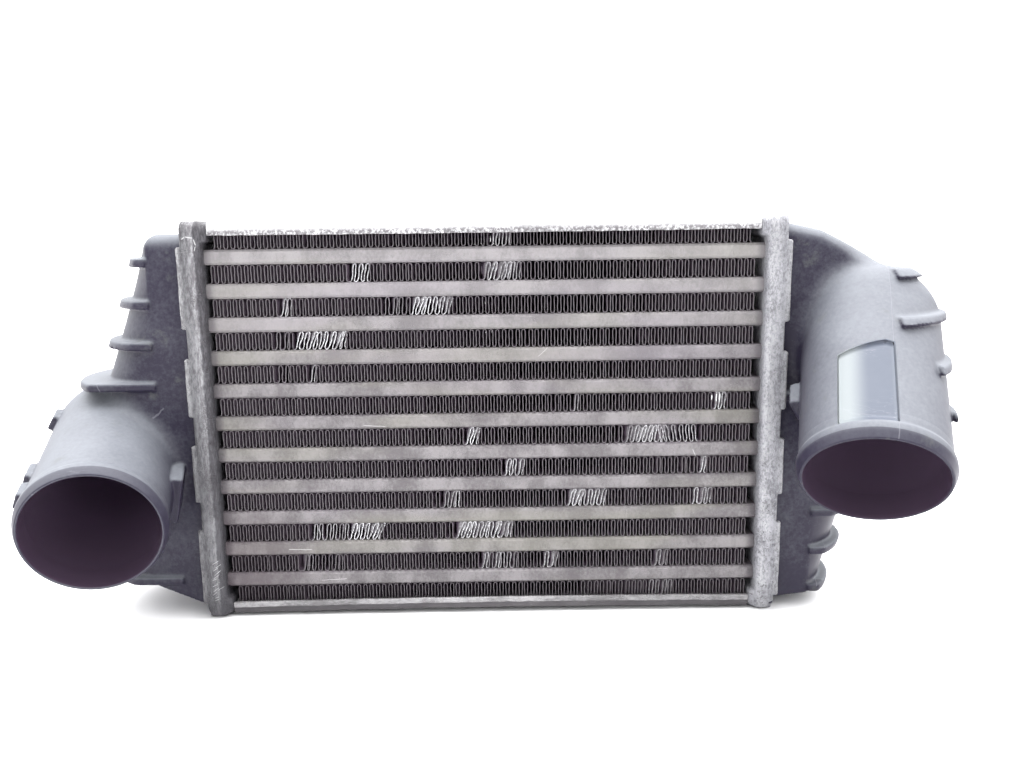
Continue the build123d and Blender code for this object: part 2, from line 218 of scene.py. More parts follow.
class Paint(Pen):
    """Writes one material."""

    def __init__(self, name: str, datum: "Datum") -> None:
        """Start an empty material whose x, y and z are places in millimetres from the core's corner.

        Args:
            name: The material's name.
            datum: Where the core stands.
        """
        self.material = bpy.data.materials.new(name)
        self.material.use_nodes = True
        self.material.node_tree.nodes.clear()
        super().__init__(self.material.node_tree)
        self.place = self.node("ShaderNodeTexCoord", out="Object")
        x, y, z = self.split(self.place)
        self.x, self.y, self.z = ((x - datum.middle) * (1 / MM), (y - datum.front) * (1 / MM),
                                  (z - datum.base) * (1 / MM))

    def noise(self, scale: float, detail: float = 3.0, rough: float = 0.55,
              stretch: Sequence[float] = (1.0, 1.0, 1.0), shift: float = 0.0) -> Term:
        """Even noise from 0 to 1.

        Args:
            scale: Cells in a metre.
            detail: Octaves.
            rough: Weight of each finer octave.
            stretch: Multipliers along X, Y and Z.
            shift: Offset that makes one pattern differ from another.

        Returns:
            The noise value.
        """
        place = self.node("ShaderNodeMapping", None,
                          {"Vector": self.place, "Location": (shift, shift * 0.7, shift * 1.3),
                           "Scale": tuple(stretch)})
        return self.node("ShaderNodeTexNoise", None,
                         {"Vector": place, "Scale": scale, "Detail": detail, "Roughness": rough})

    def scratches(self, scale: float, angle: Sequence[float], width: float, shift: float,
                  cover: float) -> Term:
        """Fine broken lines that run one way.

        Args:
            scale: Cells in a metre along the lines.
            angle: Turn of the pattern about X, Y and Z.
            width: Half-width of a line as a share of the noise's range.
            shift: Offset of the pattern.
            cover: Share of the surface without lines.

        Returns:
            1 on a line and 0 beside it.
        """
        place = self.node("ShaderNodeMapping", None,
                          {"Vector": self.place, "Rotation": tuple(angle), "Scale": LINE_STRETCH,
                           "Location": (shift, shift, shift)})
        lines = self.node("ShaderNodeTexNoise", None,
                          {"Vector": place, "Scale": scale, "Detail": 2.0, "Roughness": 0.7})
        band = (lines - 0.5).abs().ramp(width, 0.0)
        return band * self.noise(scale * 0.35, 2.0, shift=shift + 3.0).ramp(cover, cover + 0.12)

    def carried(self, name: str) -> Term:
        """A named value that the mesh carries at its points."""
        return self.node("ShaderNodeAttribute", {"attribute_name": name}, out="Fac")

    def soot(self) -> Term:
        """Grime that gathers towards the core's lower left corner."""
        return self.x.ramp(*SOOT_ACROSS) * self.z.ramp(*SOOT_UP)

    def upward(self) -> Term:
        """How far the surface looks up, from -1 to 1."""
        return self.split(self.node("ShaderNodeNewGeometry", out="Normal"))[2]

    def mark(self, start: Sequence[float], end: Sequence[float], width: float) -> Term:
        """A single scratch seen from the front.

        Args:
            start: X and Z of one end, in millimetres.
            end: X and Z of the other end.
            width: Half-width.

        Returns:
            1 on the scratch, fading to 0 beside it.
        """
        fade = 0.8      # mm over which its ends run out
        run = Vector(end) - Vector(start)
        half = run.length / 2
        run.normalize()
        across = (self.x - start[0]) * run.y - (self.z - start[1]) * run.x
        along = (self.x - start[0]) * run.x + (self.z - start[1]) * run.y
        wobble = (self.noise(260.0, 2.0) - 0.5) * (width * 4)
        line = (across + wobble).abs().ramp(width, width * 0.3)
        return line * (along - half).abs().ramp(half, half - fade)

    def finish(self, base: Term, roughness: Any, bump: Term | None = None, depth: float = 0.1,
               metallic: Any = 0.0, **constants: Any) -> bpy.types.Material:
        """Close the material with one shader.

        Args:
            base: Base colour.
            roughness: Roughness value or term.
            bump: Height from 0 to 1, if any.
            depth: Height of the bump in millimetres.
            metallic: Metallic value or term.
            constants: Other sockets of the shader, with spaces as underscores.

        Returns:
            The finished material.
        """
        values: dict[str, Any] = {"Base Color": base, "Roughness": roughness, "Metallic": metallic}
        values.update({name.replace("_", " "): value for name, value in constants.items()})
        if bump is not None:
            values["Normal"] = self.node("ShaderNodeBump", None,
                                         {"Height": bump, "Distance": depth * MM, "Strength": 1.0})
        shader = self.node("ShaderNodeBsdfPrincipled", None, values)
        output = self.tree.nodes.new("ShaderNodeOutputMaterial")
        self.tree.links.new(shader.socket, output.inputs["Surface"])
        return self.material


# ---------------------------------------------------------------- finishes
HALF_WAY: Pair = (0.3, 0.7)         # a soft edge half-way between the points that a value marks
CORRODED: Colour = (0.95, 0.95, 0.95)   # aluminium gone white


@dataclass(frozen=True)
class MouldedPlastic:
    """Black glass-filled nylon gone grey with dust and handling, oily inside; painted light on tops and in the
    bore.
    """

    name: str
    marks: tuple[Mark, ...] = ()
    dark: Colour = (0.021, 0.018, 0.033)
    dusty_and_lit: Colour = (0.192, 0.204, 0.226)
    oily: Colour = (0.050, 0.033, 0.054)
    # paler colour further in the bore, a painted fill light against the shade there
    painted_fill: Colour = (0.150, 0.105, 0.165)
    scuffed: Colour = (0.20, 0.20, 0.23)
    stained: Colour = (0.10, 0.105, 0.10)
    roof_back: Pair = (47.0, 52.0)      # Y over which the roof's far rim is painted dark, a painted shade where it turns away
    roof_side: Pair = (144.0, 152.0)    # X over which that painted shade starts
    rubbing: float = 0.6
    roughness: float = 0.42
    grain: float = 0.035

    def material(self, datum: "Datum", parting: "Parting | None" = None) -> bpy.types.Material:
        """Build the material.

        Args:
            datum: Where the core stands.
            parting: The plane of the mould's parting line, if any shows.

        Returns:
            The material.
        """
        paint = Paint(self.name, datum)
        cloud = paint.noise(34.0, 5.0, 0.62)
        fine = paint.noise(520.0, 4.0, 0.7, shift=2.0)
        # faces that look up are painted paler: dust that settles there, together with painted light from above
        sky = paint.upward().ramp(-0.15, 0.95)
        rubbed = paint.carried("rubbed").ramp(*HALF_WAY)
        dust_and_top_light = (sky * 0.74 + (cloud - 0.5) * 0.42 + (fine - 0.5) * 0.40) * (1.0 - rubbed * self.rubbing)
        base = paint.mix(dust_and_top_light.most(0.0).least(1.0), self.dark, self.dusty_and_lit)
        stain = paint.noise(75.0, 4.0, 0.7, shift=8.0).ramp(0.60, 0.72) * 0.35
        base = paint.mix(stain, base, self.stained)
        lines = paint.scratches(70.0, (0.4, 0.9, 0.3), 0.012, 1.7, 0.62)
        for start, end, width in self.marks:
            lines = lines.most(paint.mark(start, end, width))
        base = paint.mix(lines * 0.4, base, self.scuffed)
        # inside the bore: a dark oily film by the mouth, painted paler further in as a painted fill light
        inside = paint.carried("inside").ramp(*HALF_WAY)
        painted_fill = paint.carried("painted_fill")
        base = paint.mix(inside, base, paint.mix(painted_fill, self.oily, self.painted_fill))
        rough = dust_and_top_light * 0.22 + self.roughness - inside * 0.1
        grit = paint.noise(1500.0, 3.0, 0.6, shift=5.0) * 0.5
        bump = grit + paint.noise(240.0, 3.0, 0.6) * 0.8 - lines * 0.8
        if parting is not None:
            # on the right tank, which has a parting line, the roof's far rim is painted dark as a painted shade
            rim = paint.y.ramp(*self.roof_back) * paint.upward().ramp(0.15, 0.5)
            rim = rim * paint.x.ramp(*self.roof_side)
            base = paint.mix(rim * 0.9, base, self.dark)
            seam = parting.line(paint) * (1.0 - inside)
            bump = bump + seam * 2.4
            base = paint.mix(seam * 0.4, base, self.scuffed)
        return paint.finish(base, rough, bump, self.grain, Specular_IOR_Level=0.2)


@dataclass(frozen=True)
class PolishedPlastic:
    """The smooth raised land on the right spigot, with a painted sheen and a thin painted highlight."""

    name: str = "polished_plastic"
    middle: Pair = (182.2, 3.2)      # X and Y of the dome's centre
    across: Pair = (0.950, -0.314)   # the level direction across the spigot
    sheen: Pair = (-4.0, -13.0)         # painted sheen, from dark to bright across it, in mm
    glint_line: float = 5.6                 # a painted highlight: a thin bright line on the dark side
    dark: Colour = (0.064, 0.075, 0.103)
    clouded: Colour = (0.090, 0.101, 0.130)
    bright: Colour = (0.20, 0.22, 0.23)
    scratched: Colour = (0.5, 0.5, 0.55)

    def material(self, datum: "Datum") -> bpy.types.Material:
        """Build the material.

        Args:
            datum: Where the core stands.

        Returns:
            The material.
        """
        paint = Paint(self.name, datum)
        cloud = paint.noise(60.0, 3.0)
        lines = paint.scratches(60.0, (0.2, 1.4, 0.3), 0.015, 4.0, 0.5)
        base = paint.mix(cloud, self.dark, self.clouded)
        (x, y), (right, back) = self.middle, self.across
        across = (paint.x - x) * right + (paint.y - y) * back
        # painted reflection: bright across one side of the land, with a thin painted highlight line
        sheen = across.ramp(*self.sheen).most((across - self.glint_line).abs().ramp(1.6, 0.2) * 0.12)
        base = paint.mix(sheen, base, self.bright)
        base = paint.mix(lines * 0.12, base, self.scratched)
        rough = cloud * 0.10 + 0.34
        return paint.finish(base, rough, cloud * 0.6 + lines * -0.3, 0.02, Specular_IOR_Level=0.25)


@dataclass(frozen=True)
class Parting:
    """A mould's parting line: where a plane through a spigot's axis meets its barrel."""

    origin: Triple
    normal: Triple
    width: float = 0.35

    def line(self, paint: Paint) -> Term:
        """Draw the line on the side that looks up.

        Args:
            paint: The material.

        Returns:
            1 on the line and 0 beside it.
        """
        a, b, c = self.normal
        x, y, z = self.origin
        off = ((paint.x - x) * a + (paint.y - y) * b + (paint.z - z) * c).abs()
        return off.ramp(self.width, self.width * 0.2) * paint.upward().ramp(0.05, 0.3)


@dataclass(frozen=True)
class SheetAluminium:
    """Sheet aluminium with oxide mottling, grime and scratches."""

    name: str
    bright: Colour
    dull: Colour
    grime_and_fill: Colour = (0.10, 0.085, 0.095)
    grime_share: float = 0.25
    mottle: float = 120.0
    stretch: Triple = (1.0, 1.0, 1.0)
    roughness: float = 0.42
    metallic: float = 0.5
    scratched: float = 0.5
    scratch_angle: Triple = (0.2, 0.5, 0.9)
    bump: float = 0.06
    speckle: float = 0.4
    grain: float = 0.0
    pale: Colour = (0.80, 0.80, 0.81)

    def shade(self, paint: Paint, base: Term) -> Term:
        """Colour that follows the piece's own form; plain sheet has none."""
        return base

    def material(self, datum: "Datum") -> bpy.types.Material:
        """Build the material.

        Args:
            datum: Where the core stands.

        Returns:
            The material.
        """
        paint = Paint(self.name, datum)
        cloud = paint.noise(self.mottle * 0.3, 4.0, 0.6, self.stretch)
        speck = paint.noise(self.mottle * 3.0, 5.0, 0.75, self.stretch, shift=1.0)
        fine = paint.noise(self.mottle * 12.0, 3.0, 0.7, shift=4.0)
        lines = paint.scratches(self.mottle, self.scratch_angle, 0.02, 2.2, 0.50)
        dullness = (cloud * (1.0 - self.speckle) + speck * self.speckle).ramp(0.38, 0.60)
        base = paint.mix(dullness, self.bright, self.dull)
        dirt = (speck * 0.6 + cloud * 0.4).ramp(0.48, 0.70) * self.grime_share + fine.ramp(0.52, 0.8) * 0.15
        base = paint.mix(dirt.least(1.0), base, self.grime_and_fill)
        base = paint.mix(lines * self.scratched, base, self.pale)
        base = paint.mix((fine - 0.5).abs().ramp(0.06, 0.2) * self.grain, base, self.dull)
        base = self.shade(paint, base)
        rough = dullness * 0.16 + dirt * 0.25 + self.roughness
        height = fine * 0.5 + speck - lines * 0.5
        return paint.finish(base, rough, height, self.bump, self.metallic)


@dataclass(frozen=True)
class TubeAluminium(SheetAluminium):
    """The flat fronts of the charge tubes: grime and painted shade where the folds touch them, painted light on
    the top rows.
    """

    fold_pitch: float = 3.05
    tube_pitch: float = 15.8
    half_height: float = 3.5
    half_gap: float = 4.4               # half the space between two tubes
    blob: Pair = (109.6, 92.8)
    blob_radius: float = 2.6
    edge_grime_and_shade: Colour = (0.075, 0.062, 0.075)
    warm: Colour = (0.225, 0.22, 0.182)
    lilac: Colour = (0.225, 0.20, 0.235)
    end_darkening: Colour = (0.060, 0.052, 0.060)
    sooty: Colour = (0.085, 0.062, 0.072)
    painted_top_light: Colour = (0.46, 0.44, 0.45)
    scratch: Colour = (0.75, 0.74, 0.74)
    marks: tuple[Mark, ...] = (
        ((-99.5, 19.0), (-87.5, 18.5), 0.22), ((-84.0, 2.7), (-71.0, 3.2), 0.18),
        ((98.5, 67.0), (101.5, 60.5), 0.2), ((-60.0, 81.0), (-49.0, 80.2), 0.15),
        ((24.0, 113.0), (29.0, 117.5), 0.15),
    )

    def shade(self, paint: Paint, base: Term) -> Term:
        """Darken the long edges in scallops, grime with painted shade; tint; add painted light up top and one
        white corrosion spot.

        Args:
            paint: The material.
            base: Colour so far.

        Returns:
            The shaded colour.
        """
        rung = (paint.z + self.half_gap) * (1 / self.tube_pitch)
        off = (rung.fraction() * self.tube_pitch - self.half_gap - self.half_height).abs()
        scallop = (paint.x * (2 * math.pi / self.fold_pitch)).sin() * 0.22
        rough_edge = (paint.noise(500.0, 2.0) - 0.5) * 1.2
        # the long edges darken where the folds touch: partly grime, partly painted shade beside the fins
        edge = (off + scallop + rough_edge).ramp(2.5, 3.6)
        base = paint.mix(edge * 0.75, base, self.edge_grime_and_shade)
        warm = paint.noise(22.0, 3.0, 0.5, (0.4, 1.0, 1.6), shift=6.0).ramp(0.46, 0.62)
        base = paint.mix(warm * 0.4, base, self.warm)
        lilac = paint.noise(18.0, 3.0, 0.5, (0.5, 1.0, 1.6), shift=9.0).ramp(0.52, 0.66)
        base = paint.mix(lilac * 0.3, base, self.lilac)
        # darker over the last 4 mm before each header
        by_header = paint.x.abs().ramp(125.0, 129.0)
        base = paint.mix(by_header * 0.75, base, self.end_darkening)
        base = paint.mix(paint.soot() * 0.5, base, self.sooty)
        # painted light: the upper tubes are made lighter, where more light falls on their fronts
        higher = paint.z.ramp(95.0, 165.0)
        base = paint.mix(higher * 0.22, base, self.painted_top_light)
        for start, end, width in self.marks:
            base = paint.mix(paint.mark(start, end, width) * 0.55, base, self.scratch)
        return paint.mix(corrosion(paint, self.blob, self.blob_radius), base, CORRODED)


def corrosion(paint: Paint, place: Pair, radius: float) -> Term:
    """A ragged round spot seen from the front.

    Args:
        paint: The material.
        place: X and Z of its middle.
        radius: Its radius.

    Returns:
        1 on the spot and 0 beside it.
    """
    dx, dz = paint.x - place[0], paint.z - place[1]
    ragged = (paint.noise(420.0, 3.0) - 0.5) * (radius * 3.2)
    return ((dx * dx + dz * dz) ** 0.5 + ragged).ramp(radius, radius * 0.7)


@dataclass(frozen=True)
class HeaderAluminium(SheetAluminium):
    """A header's tray: painted shade and light, with wear, run from the fold beside the core to the crimped
    edge beside the tank.
    """

    side: int = 1
    stops: Stops = ()
    start: float = 127.0                # X of the first stop
    span: float = 15.0                  # mm from the first stop to the last
    gouges_and_highlight: tuple[Mark, ...] = ()
    foot: Pair = (95.0, 20.0)           # Z over which it turns darker towards the bottom
    tip: Pair = (3.0, -9.0)
    foot_share: float = 0.0
    tip_share: float = 0.25
    lower_darkening: Colour = (0.045, 0.043, 0.050)
    pit: Colour = (0.07, 0.066, 0.075)
    pitted: float = 0.3

    def shade(self, paint: Paint, base: Term) -> Term:
        """Multiply the metal by the painted light and shade across the rim, darken it lower down, then add
        single gouges and a painted highlight.

        Args:
            paint: The material.
            base: Colour so far.

        Returns:
            The shaded colour.
        """
        ragged = (paint.noise(420.0, 4.0, 0.7, (1.0, 1.0, 0.7), shift=12.0) - 0.5) * 0.16
        across = (paint.x * self.side - self.start) / self.span + ragged
        light_and_shade = paint.node("ShaderNodeValToRGB", {"stops": self.stops}, {0: across})
        base = paint.node("ShaderNodeMix", {"data_type": "RGBA", "blend_type": "MULTIPLY"},
                          {0: 1.0, 6: base, 7: light_and_shade}, out=2)
        foot = paint.z.ramp(*self.foot) * self.foot_share
        tip = paint.z.ramp(*self.tip) * self.tip_share
        base = paint.mix(foot.most(tip), base, self.lower_darkening)
        pits = paint.noise(650.0, 3.0, 0.7, shift=15.0).ramp(0.57, 0.65)
        pits = pits * (paint.z.ramp(80.0, 15.0) * 0.6 + 0.4)
        base = paint.mix(pits * self.pitted, base, self.pit)
        for start, end, width in self.gouges_and_highlight:
            base = paint.mix(paint.mark(start, end, width) * 0.5, base, self.pale)
        return base


@dataclass(frozen=True)
class PlateAluminium(SheetAluminium):
    """A side plate whose lip is speckled beside the fins."""

    lip_edge: Pair = (0.0, 1.0)         # Z from clean to speckled
    lip_share: float = 0.0
    lip_grime: Colour = (0.10, 0.09, 0.10)

    def shade(self, paint: Paint, base: Term) -> Term:
        """Speckle the lip's edge beside the fins."""
        speck = paint.noise(700.0, 3.0, 0.8).ramp(0.36, 0.56)
        return paint.mix(paint.z.ramp(*self.lip_edge) * speck * self.lip_share, base, self.lip_grime)


@dataclass(frozen=True)
class FinAluminium:
    """Thin folded strip: dull edges, paler inside as a painted fill light, bare metal where folds were knocked
    over.
    """

    name: str = "fin_aluminium"
    edge: Colour = (0.125, 0.112, 0.122)
    dull: Colour = (0.080, 0.070, 0.080)
    painted_fill: Colour = (0.230, 0.175, 0.235)
    bare: Colour = (0.78, 0.78, 0.80)
    sooty: Colour = (0.05, 0.035, 0.045)
    grime_and_fill: Pair = (0.6, 4.5)            # Y from the bare edges to the paler inside, a painted fill light
    knocked: Pair = (4.0, 2.0)          # how far back the knocked folds are bare
    blob: Pair = (109.6, 91.6)
    blob_radius: float = 2.6
    blob_reach: Pair = (3.0, 1.5)

    def material(self, datum: "Datum") -> bpy.types.Material:
        """Build the material.

        Args:
            datum: Where the core stands.

        Returns:
            The material.
        """
        paint = Paint(self.name, datum)
        inside = paint.y.ramp(*self.grime_and_fill)
        speck = paint.noise(700.0, 4.0, 0.7)
        base = paint.mix(speck.ramp(0.35, 0.7) * 0.6, self.edge, self.dull)
        # paler deeper in the gaps: a painted fill light against their shade
        base = paint.mix(inside, base, self.painted_fill)
        bend = paint.carried("bend")
        bare = bend.ramp(0.25, 0.9) * paint.y.ramp(*self.knocked)
        base = paint.mix(paint.soot() * 0.45, base, self.sooty)
        worn = paint.noise(900.0, 3.0, 0.7, shift=3.0).ramp(0.38, 0.60) * 0.7 + 0.3
        base = paint.mix(bare * worn, base, self.bare)
        white = corrosion(paint, self.blob, self.blob_radius) * paint.y.ramp(*self.blob_reach)
        base = paint.mix(white, base, CORRODED)
        return paint.finish(base, inside * 0.2 + 0.5 - bare * 0.12, speck, 0.03, 0.35)


@dataclass(frozen=True)
class Rubber:
    """Black moulded rubber."""

    name: str = "gasket_rubber"
    base: Colour = (0.02, 0.02, 0.022)
    worn: Colour = (0.06, 0.06, 0.06)

    def material(self, datum: "Datum") -> bpy.types.Material:
        """Build the material.

        Args:
            datum: Where the core stands.

        Returns:
            The material.
        """
        paint = Paint(self.name, datum)
        speck = paint.noise(500.0)
        return paint.finish(paint.mix(speck, self.base, self.worn), speck * 0.2 + 0.7, speck, 0.03)


# ---------------------------------------------------------------- where the core stands
HEADER_SHEET = 1.5      # mm, between the header face and the gasket


@dataclass(frozen=True)
class Datum:
    """Where the core's own corner lies in the row frame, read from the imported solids.

    Places on the object are given in millimetres: X from mid-width, Y back from the tubes' front edges, Z up
    from the underside of the lowest tube.
    """

    middle: float
    front: float
    base: float
    depth: float
    stack: float
    half_core: float

    @classmethod
    def read(cls) -> "Datum":
        """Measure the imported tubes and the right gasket.

        Returns:
            The datum.
        """
        top_low, top_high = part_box("charge_tube_01")
        low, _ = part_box("charge_tube_11")
        gasket_low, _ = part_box("gasket_right")
        middle = (top_low[0] + top_high[0]) / 2
        return cls(middle, top_low[1], low[2], (top_high[1] - top_low[1]) / MM, (top_high[2] - low[2]) / MM,
                   (gasket_low[0] - middle) / MM - HEADER_SHEET)

    def place(self, points: np.ndarray, side: int = 1) -> np.ndarray:
        """Points in millimetres on one side, as points in metres in the row frame."""
        sided = points * np.array([side, 1.0, 1.0])
        return sided * MM + np.array([self.middle, self.front, self.base])

    def point(self, x: float, y: float, z: float) -> Vector:
        """One place on the object in the row frame."""
        return Vector(self.place(np.array([x, y, z])).tolist())


# ---------------------------------------------------------------- meshes
def linked(name: str, data: bpy.types.ID) -> bpy.types.Object:
    """Make an object and put it in the scene.

    Args:
        name: Its name.
        data: Its mesh, camera or light.

    Returns:
        The object.
    """
    made = bpy.data.objects.new(name, data)
    bpy.context.scene.collection.objects.link(made)
    return made


class Casting:
    """Gathers the faces of one piece, in millimetres and drawn for the right side."""

    def __init__(self, name: str) -> None:
        """Start an empty piece.

        Args:
            name: Its name.
        """
        self.name = name
        self.points = np.zeros((0, 3))
        self.faces: list[tuple[int, ...]] = []
        self.finishes: list[int] = []

    def add(self, points: np.ndarray, faces: Iterable[Sequence[int]], finish: int = 0) -> None:
        """Add a closed skin.

        Args:
            points: Its places.
            faces: Corner numbers of each face, anticlockwise from outside.
            finish: Number of its finish.
        """
        base = len(self.points)
        added = [tuple(base + n for n in face) for face in np.asarray(faces).tolist()]
        self.points = np.concatenate([self.points, points])
        self.faces += added
        self.finishes += [finish] * len(added)

    def pour(self, datum: Datum, side: int, finishes: Sequence[bpy.types.Material],
             values: dict[str, np.ndarray] | None = None) -> bpy.types.Object:
        """Make the object.

        Args:
            datum: Where the core stands.
            side: 1 as drawn, or -1 mirrored.
            finishes: Materials, by number.
            values: Named values of each point.

        Returns:
            The linked, smooth-shaded object.
        """
        mesh = bpy.data.meshes.new(self.name)
        faces = self.faces if side > 0 else [face[::-1] for face in self.faces]
        mesh.from_pydata(datum.place(self.points, side).tolist(), [], faces)
        mesh.polygons.foreach_set("use_smooth", [True] * len(mesh.polygons))
        mesh.polygons.foreach_set("material_index", self.finishes)
        for name, value in (values or {}).items():
            layer = mesh.attributes.new(name, "FLOAT", "POINT")
            layer.data.foreach_set("value", value.astype(np.float32))
        for finish in finishes:
            mesh.materials.append(finish)
        mesh.update()
        made = linked(self.name, mesh)
        log.info("%s: %d points, %d faces", self.name, len(mesh.vertices), len(mesh.polygons))
        return made


def rounded_cut(first: np.ndarray, second: np.ndarray, radius: float) -> np.ndarray:
    """Distance to what two shapes share, with their common edge rounded to a radius."""
    reach = np.hypot(np.maximum(first + radius, 0), np.maximum(second + radius, 0))
    return np.minimum(np.maximum(first, second), -radius) + reach


def blended(first: np.ndarray, second: np.ndarray, width: float) -> np.ndarray:
    """Distance to two shapes joined with a soft hollow corner."""
    share = np.clip(0.5 + 0.5 * (second - first) / width, 0, 1)
    return second + (first - second) * share - width * share * (1 - share)


DRAWING_STEPS = 5       # how often the points of a skin are drawn onto its surface
LEAST_RISE = 0.2        # keeps a point from leaping where the field is nearly flat


def outside_span(value: np.ndarray, low: float, high: float) -> np.ndarray:
    """Distance past the nearer end of a span, negative within it."""
    return np.abs(value - (low + high) / 2) - (high - low) / 2


def slope_of(shape: Field, points: np.ndarray, reach: float = 0.05) -> np.ndarray:
    """Measure the steepest rise of a distance field.

    Args:
        shape: Distance field.
        points: Places.
        reach: How far to either side it is measured.

    Returns:
        The rise at each place, as a vector.
    """
    parts = []
    for axis in np.eye(3) * reach:
        parts.append((shape(points + axis) - shape(points - axis)) / (2 * reach))
    return np.stack(parts, axis=-1)


def skin(shape: Field, low: Sequence[float], high: Sequence[float],
         step: float) -> tuple[np.ndarray, np.ndarray]:
    """Closed surface of a distance field: one point in each cell that it crosses, drawn onto it.

    Args:
        shape: Distance field, negative inside.
        low: Lowest corner of the space searched.
        high: Highest corner.
        step: Cell size.

    Returns:
        Points and four-cornered faces.
    """
    axes = [np.arange(a, b + step, step) for a, b in zip(low, high)]
    grid = np.stack(np.meshgrid(*axes, indexing="ij"), axis=-1)
    value = shape(grid)
    inside = value < 0
    cells = [slice(0, -1), slice(1, None)]
    corners = [(i, j, k) for i in (0, 1) for j in (0, 1) for k in (0, 1)]
    count = sum(inside[cells[i], cells[j], cells[k]].astype(np.int8) for i, j, k in corners)
    mixed = (count > 0) & (count < 8)
    number = np.full(mixed.shape, -1)
    number[mixed] = np.arange(mixed.sum())
    where = np.argwhere(mixed)
    total = np.zeros((len(where), 3))
    hits = np.zeros(len(where))
    for first in corners:
        for axis in range(3):
            if first[axis]:
                continue
            second = tuple(1 if n == axis else c for n, c in enumerate(first))
            a = value[tuple((where + first).T)]
            b = value[tuple((where + second).T)]
            cross = (a < 0) != (b < 0)
            share = np.where(cross, a / np.where(cross, a - b, 1), 0)
            hit = where + np.array(first) + share[:, None] * np.eye(3)[axis]
            total += np.where(cross[:, None], hit, 0)
            hits += cross
    points = np.array(low) + total / hits[:, None] * step
    for _ in range(DRAWING_STEPS):
        rise = slope_of(shape, points)
        size = np.maximum((rise ** 2).sum(-1), LEAST_RISE)
        move = -(shape(points) / size)[:, None] * rise
        length = np.linalg.norm(move, axis=-1, keepdims=True)
        points = points + move * np.minimum(1, 0.5 * step / np.maximum(length, 1e-9))
    faces = []
    for axis in range(3):
        u, v = (axis + 1) % 3, (axis + 2) % 3
        near = [slice(None)] * 3
        far = [slice(None)] * 3
        near[axis], far[axis] = slice(0, -1), slice(1, None)
        flips = inside[tuple(near)] != inside[tuple(far)]
        for n in (u, v):
            edge = [slice(None)] * 3
            edge[n] = slice(0, 1)
            flips[tuple(edge)] = False
            edge[n] = slice(-1, None)
            flips[tuple(edge)] = False
        at = np.argwhere(flips)
        starts = inside[tuple(at.T)]
        ring = []
        for du, dv in ((-1, -1), (0, -1), (0, 0), (-1, 0)):
            cell = at.copy()
            cell[:, u] += du
            cell[:, v] += dv
            ring.append(number[tuple(cell.T)])
        quad = np.stack(ring, axis=-1)
        quad[~starts] = quad[~starts][:, ::-1]
        faces.append(quad)
    return points, np.concatenate(faces)


def turned(profile: Sequence[Pair], origin: np.ndarray, axis: np.ndarray,
           steps: int = 144) -> tuple[np.ndarray, np.ndarray]:
    """Turn a closed profile about an axis.

    Args:
        profile: (distance along the axis, radius) pairs, anticlockwise round the material seen with the
            axis to the right and the radius up.
        origin: Place on the axis.
        axis: Unit direction.
        steps: Points round the ring.

    Returns:
        Points and faces.
    """
    side = np.cross(axis, (0.0, 0.0, 1.0))
    side /= np.linalg.norm(side)
    up = np.cross(axis, side)
    points = []
    for step in range(steps):
        angle = 2 * math.pi * step / steps
        out = side * math.cos(angle) + up * math.sin(angle)
        points += [origin + axis * t + out * r for t, r in profile]
    n = len(profile)
    faces = []
    for step in range(steps):
        here, there = step * n, ((step + 1) % steps) * n
        faces += [(here + k, here + (k + 1) % n, there + (k + 1) % n, there + k) for k in range(n)]
    return np.array(points), np.array(faces)


def softened(corners: Sequence[Triple], steps: int = 4) -> list[Pair]:
    """Round the corners of a closed outline.

    Args:
        corners: (x, y, radius) of each.
        steps: Short lines in each rounded corner.

    Returns:
        The outline's points.
    """
    made = []
    count = len(corners)
    for number, (x, y, radius) in enumerate(corners):
        if radius <= 0:
            made.append((x, y))
            continue
        before = np.array(corners[number - 1][:2]) - (x, y)
        after = np.array(corners[(number + 1) % count][:2]) - (x, y)
        start = np.array((x, y)) + before / np.linalg.norm(before) * radius
        end = np.array((x, y)) + after / np.linalg.norm(after) * radius
        for step in range(steps + 1):
            s = step / steps
            spot = start * (1 - s) ** 2 + 2 * np.array((x, y)) * s * (1 - s) + end * s ** 2
            made.append((float(spot[0]), float(spot[1])))
    return made


# ---------------------------------------------------------------- tanks
@dataclass(frozen=True)
class Lug:
    """A small block moulded on the spigot's barrel."""

    bearing: float      # degrees round the barrel
    width: float
    near: float         # its nearer end, from the mouth
    far: float
    height: float


